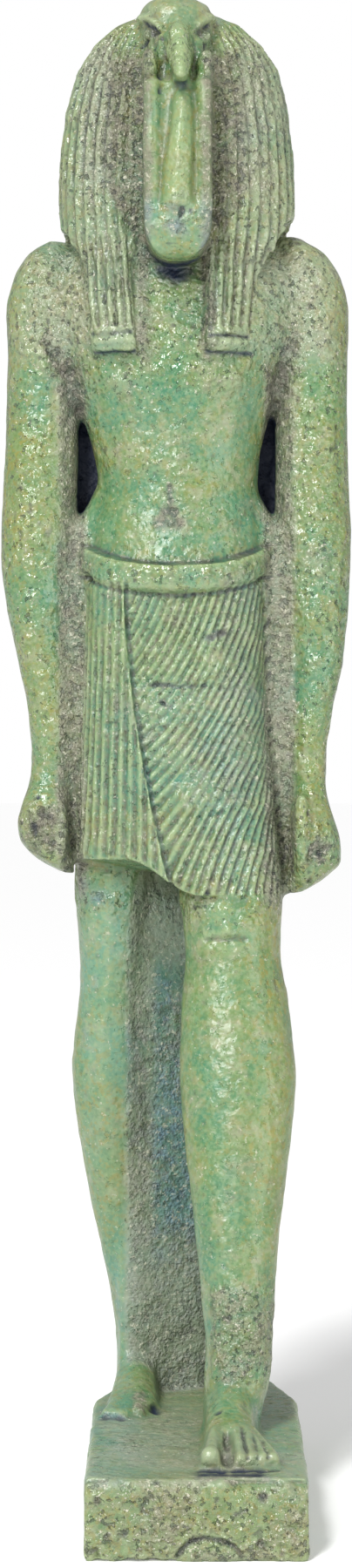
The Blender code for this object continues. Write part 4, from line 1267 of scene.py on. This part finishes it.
@dataclass(frozen=True)
class FaienceFinish:
    """Worn green glaze over a sandy quartz body, with grey-brown soiling and painted shade in the hollows,
    and painted highlights on ridges.
    """

    tones: GlazeTones = GlazeTones()
    roughness: float = 0.16
    refraction: float = 1.62
    drift_scale: float = 75.0
    speckle_scale: float = 1700.0
    peel_scale: float = 1150.0
    crumb_scale: float = 3300.0
    bump_reach: float = 0.0005
    looks: tuple[str, ...] = (
        "groove", "hollow", "dent", "ridge", "grime_and_shade", "rough", "pit", "warm", "cool", "bare", "sleek"
    )

    def material(self) -> bpy.types.Material:
        """Build the material.

        Returns:
            The material.
        """
        material = bpy.data.materials.new("worn_green_faience")
        material.use_nodes = True
        nodes = Nodes(material.node_tree)
        place = nodes.add("TexCoord").outputs["Object"]
        look = {name: nodes.add("Attribute", attribute_name=name).outputs["Fac"] for name in self.looks}
        tone = nodes.group(drift_group(), Vector=place, Scale=self.drift_scale)
        speckle = nodes.group(speckle_group(), Vector=place, Scale=self.speckle_scale, Much=look["rough"])

        rough = nodes.scaled(look["rough"], nodes.scaled(tone["Blotch"], 0.5, 0.5))
        settled_dirt_and_shade = self._settled_dirt_and_shade(nodes, look, tone)
        fewer = nodes.scaled(look["sleek"], -0.42, 0.42, clamp=True)
        pinholes = nodes.scaled(speckle["Holes"], fewer)
        # Darkest coat: soiling, pits and pinholes, and the painted shadows that the marks carry.
        dark = nodes.most(look["grime_and_shade"], nodes.scaled(look["pit"], 0.5), pinholes)
        sown = nodes.scaled(nodes.most(rough, look["sleek"]), -0.3, 0.7)
        colour = nodes.coats(
            self._glaze(nodes, look, tone),
            (rough, self._rough_body(nodes, look, tone)),
            (nodes.scaled(look["bare"], 0.5), self.tones.bare),
            # Soiling, with painted shade in the hollows.
            (settled_dirt_and_shade, self.tones.dirt_and_shade),
            (nodes.scaled(speckle["Grains"], sown), self.tones.grain),
            (dark, self.tones.dark_dirt_and_shade),
        )
        matt = nodes.scaled(nodes.most(rough, settled_dirt_and_shade, dark), 0.4, self.roughness)
        matt = nodes.scaled(look["sleek"], 0.15, matt)
        matt = nodes.scaled(tone["Mottle"], 0.08, matt, clamp=True)

        bump = nodes.add("Bump")
        height = self._height(nodes, place, rough, tone["Patch"], speckle)
        calm = nodes.scaled(look["sleek"], -1.0, 1.35)
        height = nodes.scaled(height, calm)
        nodes.feed(bump, {"Strength": 1.0, "Distance": self.bump_reach, "Height": height})
        shader = material.node_tree.nodes["Principled BSDF"]
        nodes.feed(shader, {"Base Color": colour, "Roughness": matt, "Normal": bump.outputs["Normal"]})
        shader.inputs["IOR"].default_value = self.refraction
        return material

    def _glaze(self, nodes: Nodes, look: Sockets, tone: Sockets) -> Socket:
        """Colour of the glaze itself."""
        tones = self.tones
        return nodes.coats(
            tones.teal,
            (tone["Broad"], tones.green),
            (nodes.scaled(look["warm"], 0.6, nodes.scaled(tone["Patch"], 0.34)), tones.yellow_green),
            (nodes.scaled(look["cool"], 0.6), tones.aqua),
            (nodes.scaled(nodes.scaled(tone["Patch"], tone["Blotch"]), 0.5), tones.sand),
            (nodes.scaled(tone["Mottle"], 0.3), tones.pale),
            (nodes.scaled(tone["Fleck"], nodes.scaled(look["warm"], 0.4, 0.22)), tones.olive),
            # Ridges paled: worn thin glaze and painted highlight.
            (nodes.scaled(look["ridge"], 0.75), tones.pale),
        )

    def _rough_body(self, nodes: Nodes, look: Sockets, tone: Sockets) -> Socket:
        """Colour of the sandy body where the glaze is lost."""
        tones = self.tones
        return nodes.coats(
            tones.rough_grey,
            (nodes.scaled(tone["Blotch"], 0.6), tones.sand),
            # Blue-grey coat, which on the web between the legs is painted shade.
            (look["cool"], tones.blue_grey_and_web_shade),
            (nodes.scaled(tone["Mottle"], -0.9, 0.45, clamp=True), tones.dirt_and_shade),
        )

    @staticmethod
    def _settled_dirt_and_shade(nodes: Nodes, look: Sockets, tone: Sockets) -> Socket:
        """How dark the hollows, grooves and dents are made: soiling in the grooves and dents, and soiling
        with painted shade in the hollows.
        """
        shares = (("hollow", 0.6), ("groove", 0.95), ("dent", 0.8))
        most = nodes.most(*(nodes.scaled(look[name], share) for name, share in shares))
        return nodes.scaled(most, nodes.scaled(tone["Mottle"], 0.6, 0.4), clamp=True)

    def _height(
        self, nodes: Nodes, place: Socket, rough: Socket, patch: Socket, speckle: Sockets
    ) -> Socket:
        """Fine bumps of the surface.

        Args:
            nodes: Nodes of the material.
            place: Place on the piece.
            rough: Where the body is bare and its bumps are coarser.
            patch: Patches where the orange peel of the glaze swells.
            speckle: Pinholes and grains.

        Returns:
            The height.
        """
        peel = nodes.noise(place, self.peel_scale, 1.0, 0.5)
        crumb = nodes.noise(place, self.crumb_scale, 1.0, 0.5)
        swollen = nodes.scaled(rough, -0.45, nodes.scaled(patch, 0.6, 0.45), clamp=True)
        height = nodes.scaled(crumb, nodes.scaled(rough, 0.75, 0.08))
        height = nodes.scaled(peel, swollen, height)
        height = nodes.scaled(speckle["Holes"], -0.3, height)
        return nodes.scaled(speckle["Grains"], 0.1, height)


def triangles(mesh: bpy.types.Mesh) -> int:
    """Number of triangles that a mesh's faces make."""
    return sum(len(face.vertices) - 2 for face in mesh.polygons)


@dataclass(frozen=True)
class Statue:
    """The one moulded piece: its solid's form, smoothed from facets, carved and weathered."""

    voxel: float = 0.0002
    quick_voxel: float = 0.0004
    margin: float = 0.00001
    merge: float = 1e-6
    most_triangles: int = 196000
    soft_rounds: int = 40
    wide_rounds: int = 45
    fine_rounds: int = 5
    hollow_depth: float = 0.45
    dent_depth: float = 0.07
    flat_band: float = 0.12
    finish: FaienceFinish = FaienceFinish()

    def build(self) -> bpy.types.Object:
        """Build the statue in place of its solid.

        Returns:
            The finished piece.
        """
        piece = self._copy()
        self._remesh(piece)
        skin = Skin(piece)
        skin.smooth(self._give(skin), self.soft_rounds)
        WigCarving().carve(skin)
        KiltCarving().carve(skin)
        skin.refresh()
        HeadCarving().carve(skin)
        BodyCarving().carve(skin)
        skin.refresh()
        BaseWear().wear(skin)
        Weathering().weather(skin)
        self._shade(skin)
        skin.points[skin.z < -BASE_TOP + self.flat_band, 2] = -BASE_TOP
        skin.store()
        self._thin(piece)
        self._hold_in_box(piece)
        piece.data.shade_smooth()
        piece.data.materials.clear()
        piece.data.materials.append(self.finish.material())
        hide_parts(NODE)
        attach(piece, BODY)
        return piece

    def _copy(self) -> bpy.types.Object:
        """Copy of the solid with its loose triangles merged."""
        bpy.ops.object.select_all(action="DESELECT")
        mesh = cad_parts[NODE].data.copy()
        piece = bpy.data.objects.new("faience_statue", mesh)
        bpy.context.scene.collection.objects.link(piece)
        bpy.context.view_layer.objects.active = piece
        piece.select_set(True)
        bpy.ops.object.mode_set(mode="EDIT")
        bpy.ops.mesh.select_all(action="SELECT")
        bpy.ops.mesh.remove_doubles(threshold=self.merge)
        bpy.ops.object.mode_set(mode="OBJECT")
        return piece

    def _remesh(self, piece: bpy.types.Object) -> None:
        """Even fine faces in place of the solid's facets."""
        step = piece.modifiers.new("even_faces", "REMESH")
        step.mode = "VOXEL"
        step.voxel_size = self.voxel
        bpy.ops.object.modifier_apply(modifier=step.name)
        LOG.info("fine mesh: %d faces", len(piece.data.polygons))

    @staticmethod
    def _give(skin: Skin) -> np.ndarray:
        """How much each point gives way when facets are softened, little where carving is fine.

        Args:
            skin: Surface to soften.

        Returns:
            The shares, 0 to 1.
        """
        y, z, aside = skin.y, skin.z, skin.aside
        before = eased((8.0 - y) / 0.8)
        return 1.0 - highest(
            base=0.7 * within(z, -9.0, 0.5, 0.4),
            front_foot=0.7 * within(z, 0.4, 6.0, 1.0) * eased(-y / 2.0),
            toes=0.75 * within(z, 0.0, 2.0, 0.5),
            kilt=0.9 * within(aside, 0.0, 9.6, 0.3) * within(z, 47.0, 80.6, 0.4),
            fists=0.55 * within(z, 47.0, 58.0, 1.0) * eased((aside - 10.0) / 0.5),
            wig=0.9 * within(z, 103.0, 131.0, 0.6) * within(aside, 0.0, 12.0, 0.3),
            lappets=0.9 * within(z, 97.0, 112.0, 0.5) * within(aside, 2.2, 9.6, 0.3) * before,
            head=0.78 * within(z, 121.0, 132.0, 0.6) * within(aside, 0.0, 3.8, 0.3) * eased(8.0 - y),
            bill=0.9 * within(z, 119.6, 123.5, 0.4) * within(aside, 0.0, 2.2, 0.3) * eased(4.0 - y),
        )

    def _shade(self, skin: Skin) -> None:
        """Work out hollows and ridges, wide and fine, for the finish, which darkens the hollows and dents,
        the hollows partly as painted shade, and pales the ridges, partly as painted highlight.
        """
        wide = skin.hollowness(self.wide_rounds)
        fine = skin.hollowness(self.fine_rounds)
        skin.stain("hollow", np.clip(wide / self.hollow_depth, 0.0, 1.0))
        skin.stain("dent", np.clip(fine / self.dent_depth, 0.0, 1.0))
        skin.stain("ridge", np.clip(-fine / self.dent_depth, 0.0, 1.0))

    def _hold_in_box(self, piece: bpy.types.Object) -> None:
        """Keep every point inside the solid's box, and the underside flat on the floor."""
        mesh = piece.data
        flat = np.zeros(len(mesh.vertices) * 3)
        mesh.vertices.foreach_get("co", flat)
        points = flat.reshape(-1, 3)
        low = np.array(CAD_BOX[0]) + self.margin
        low[2] = CAD_BOX[0][2]
        np.clip(points, low, np.array(CAD_BOX[1]) - self.margin, out=points)
        mesh.vertices.foreach_set("co", points.ravel())
        mesh.update()

    def _thin(self, piece: bpy.types.Object) -> None:
        """Fewer faces where the surface is plain."""
        step = piece.modifiers.new("fewer_faces", "DECIMATE")
        step.ratio = min(1.0, self.most_triangles / triangles(piece.data))
        bpy.ops.object.modifier_apply(modifier=step.name)
        LOG.info("finished mesh: %d triangles", triangles(piece.data))


def hang(light: bpy.types.Light, place: Point, towards: Vector) -> None:
    """Hang a light.

    Args:
        light: The light.
        place: Where it hangs.
        towards: Direction in which it shines.
    """
    lamp = bpy.data.objects.new(light.name, light)
    lamp.location = place
    lamp.rotation_euler = towards.to_track_quat("-Z", "Y").to_euler()
    bpy.context.scene.collection.objects.link(lamp)


@dataclass(frozen=True)
class Softbox:
    """A soft rectangular light that looks at the middle of the statue."""

    place: Point
    width: float
    height: float
    power: float

    def build(self, name: str, target: Vector) -> None:
        """Add the light.

        Args:
            name: Name of the light.
            target: Where it looks.
        """
        light = bpy.data.lights.new(name, "AREA")
        light.shape = "RECTANGLE"
        light.size = self.width
        light.size_y = self.height
        light.energy = self.power
        hang(light, self.place, target - Vector(self.place))


@dataclass(frozen=True)
class Studio:
    """Pale floor, soft lights and the camera at the photograph's angle."""

    camera_distance: float = 0.253
    camera_height: float = 0.0646
    lens: float = 64.0
    middle: Point = (0.0, 0.0, 0.07)
    floor_radius: float = 9.0
    floor_roughness: float = 0.9
    floor_specular: float = 0.2
    floor_glow: float = 0.17
    floor_tone: Colour = (0.86, 0.86, 0.86, 1.0)
    world_tone: Colour = (1.0, 1.0, 1.0, 1.0)
    world_seen: float = 1.0
    world_light: float = 0.5
    sun_power: float = 1.75
    sun_from: Point = (-0.35, -0.62, 1.0)
    sun_spread: float = 0.16
    key: Softbox = Softbox((-0.16, -0.42, 0.3), 0.09, 0.12, 1.3)
    fill: Softbox = Softbox((0.34, -0.4, 0.12), 0.2, 0.3, 0.7)

    def build(self) -> None:
        """Build the studio."""
        scene = bpy.context.scene
        scene.view_settings.view_transform = "Standard"
        self._floor()
        self._world(scene)
        self._sun()
        target = Vector(self.middle)
        self.key.build("key_light", target)
        self.fill.build("fill_light", target)
        camera = bpy.data.cameras.new("photo_camera")
        camera.lens = self.lens
        holder = bpy.data.objects.new("photo_camera", camera)
        holder.location = (0.0, -self.camera_distance, self.camera_height)
        holder.rotation_euler = (math.pi / 2.0, 0.0, 0.0)
        scene.collection.objects.link(holder)
        scene.camera = holder

    def _floor(self) -> None:
        """Wide pale floor."""
        bpy.ops.object.select_all(action="DESELECT")
        bpy.ops.mesh.primitive_circle_add(vertices=96, radius=self.floor_radius, fill_type="NGON")
        floor = bpy.context.object
        floor.name = "studio_floor"
        material = bpy.data.materials.new("studio_paper")
        material.use_nodes = True
        shader = material.node_tree.nodes["Principled BSDF"]
        shader.inputs["Base Color"].default_value = self.floor_tone
        shader.inputs["Roughness"].default_value = self.floor_roughness
        shader.inputs["Specular IOR Level"].default_value = self.floor_specular
        shader.inputs["Emission Color"].default_value = self.world_tone
        shader.inputs["Emission Strength"].default_value = self.floor_glow
        floor.data.materials.append(material)

    def _world(self, scene: bpy.types.Scene) -> None:
        """Even white surroundings, dimmer as a light than as a background."""
        world = bpy.data.worlds.new("studio_world")
        world.use_nodes = True
        nodes = Nodes(world.node_tree)
        seen = nodes.add("LightPath").outputs["Is Camera Ray"]
        strength = nodes.scaled(seen, self.world_seen - self.world_light, self.world_light)
        nodes.feed(world.node_tree.nodes["Background"], {"Color": self.world_tone, "Strength": strength})
        scene.world = world

    def _sun(self) -> None:
        """Soft main light from the front, high up, that lights the floor evenly."""
        light = bpy.data.lights.new("main_light", "SUN")
        light.energy = self.sun_power
        light.angle = self.sun_spread
        hang(light, (0.0, 0.0, 0.0), -Vector(self.sun_from))


def main() -> None:
    """Build the studio and the statue."""
    logging.basicConfig(level=logging.INFO, format="%(name)s: %(message)s")
    Studio().build()
    LOG.info("studio built")
    piece = Statue().build()
    LOG.info("%s: %d points", piece.name, len(piece.data.vertices))


if __name__ == "__main__":
    main()
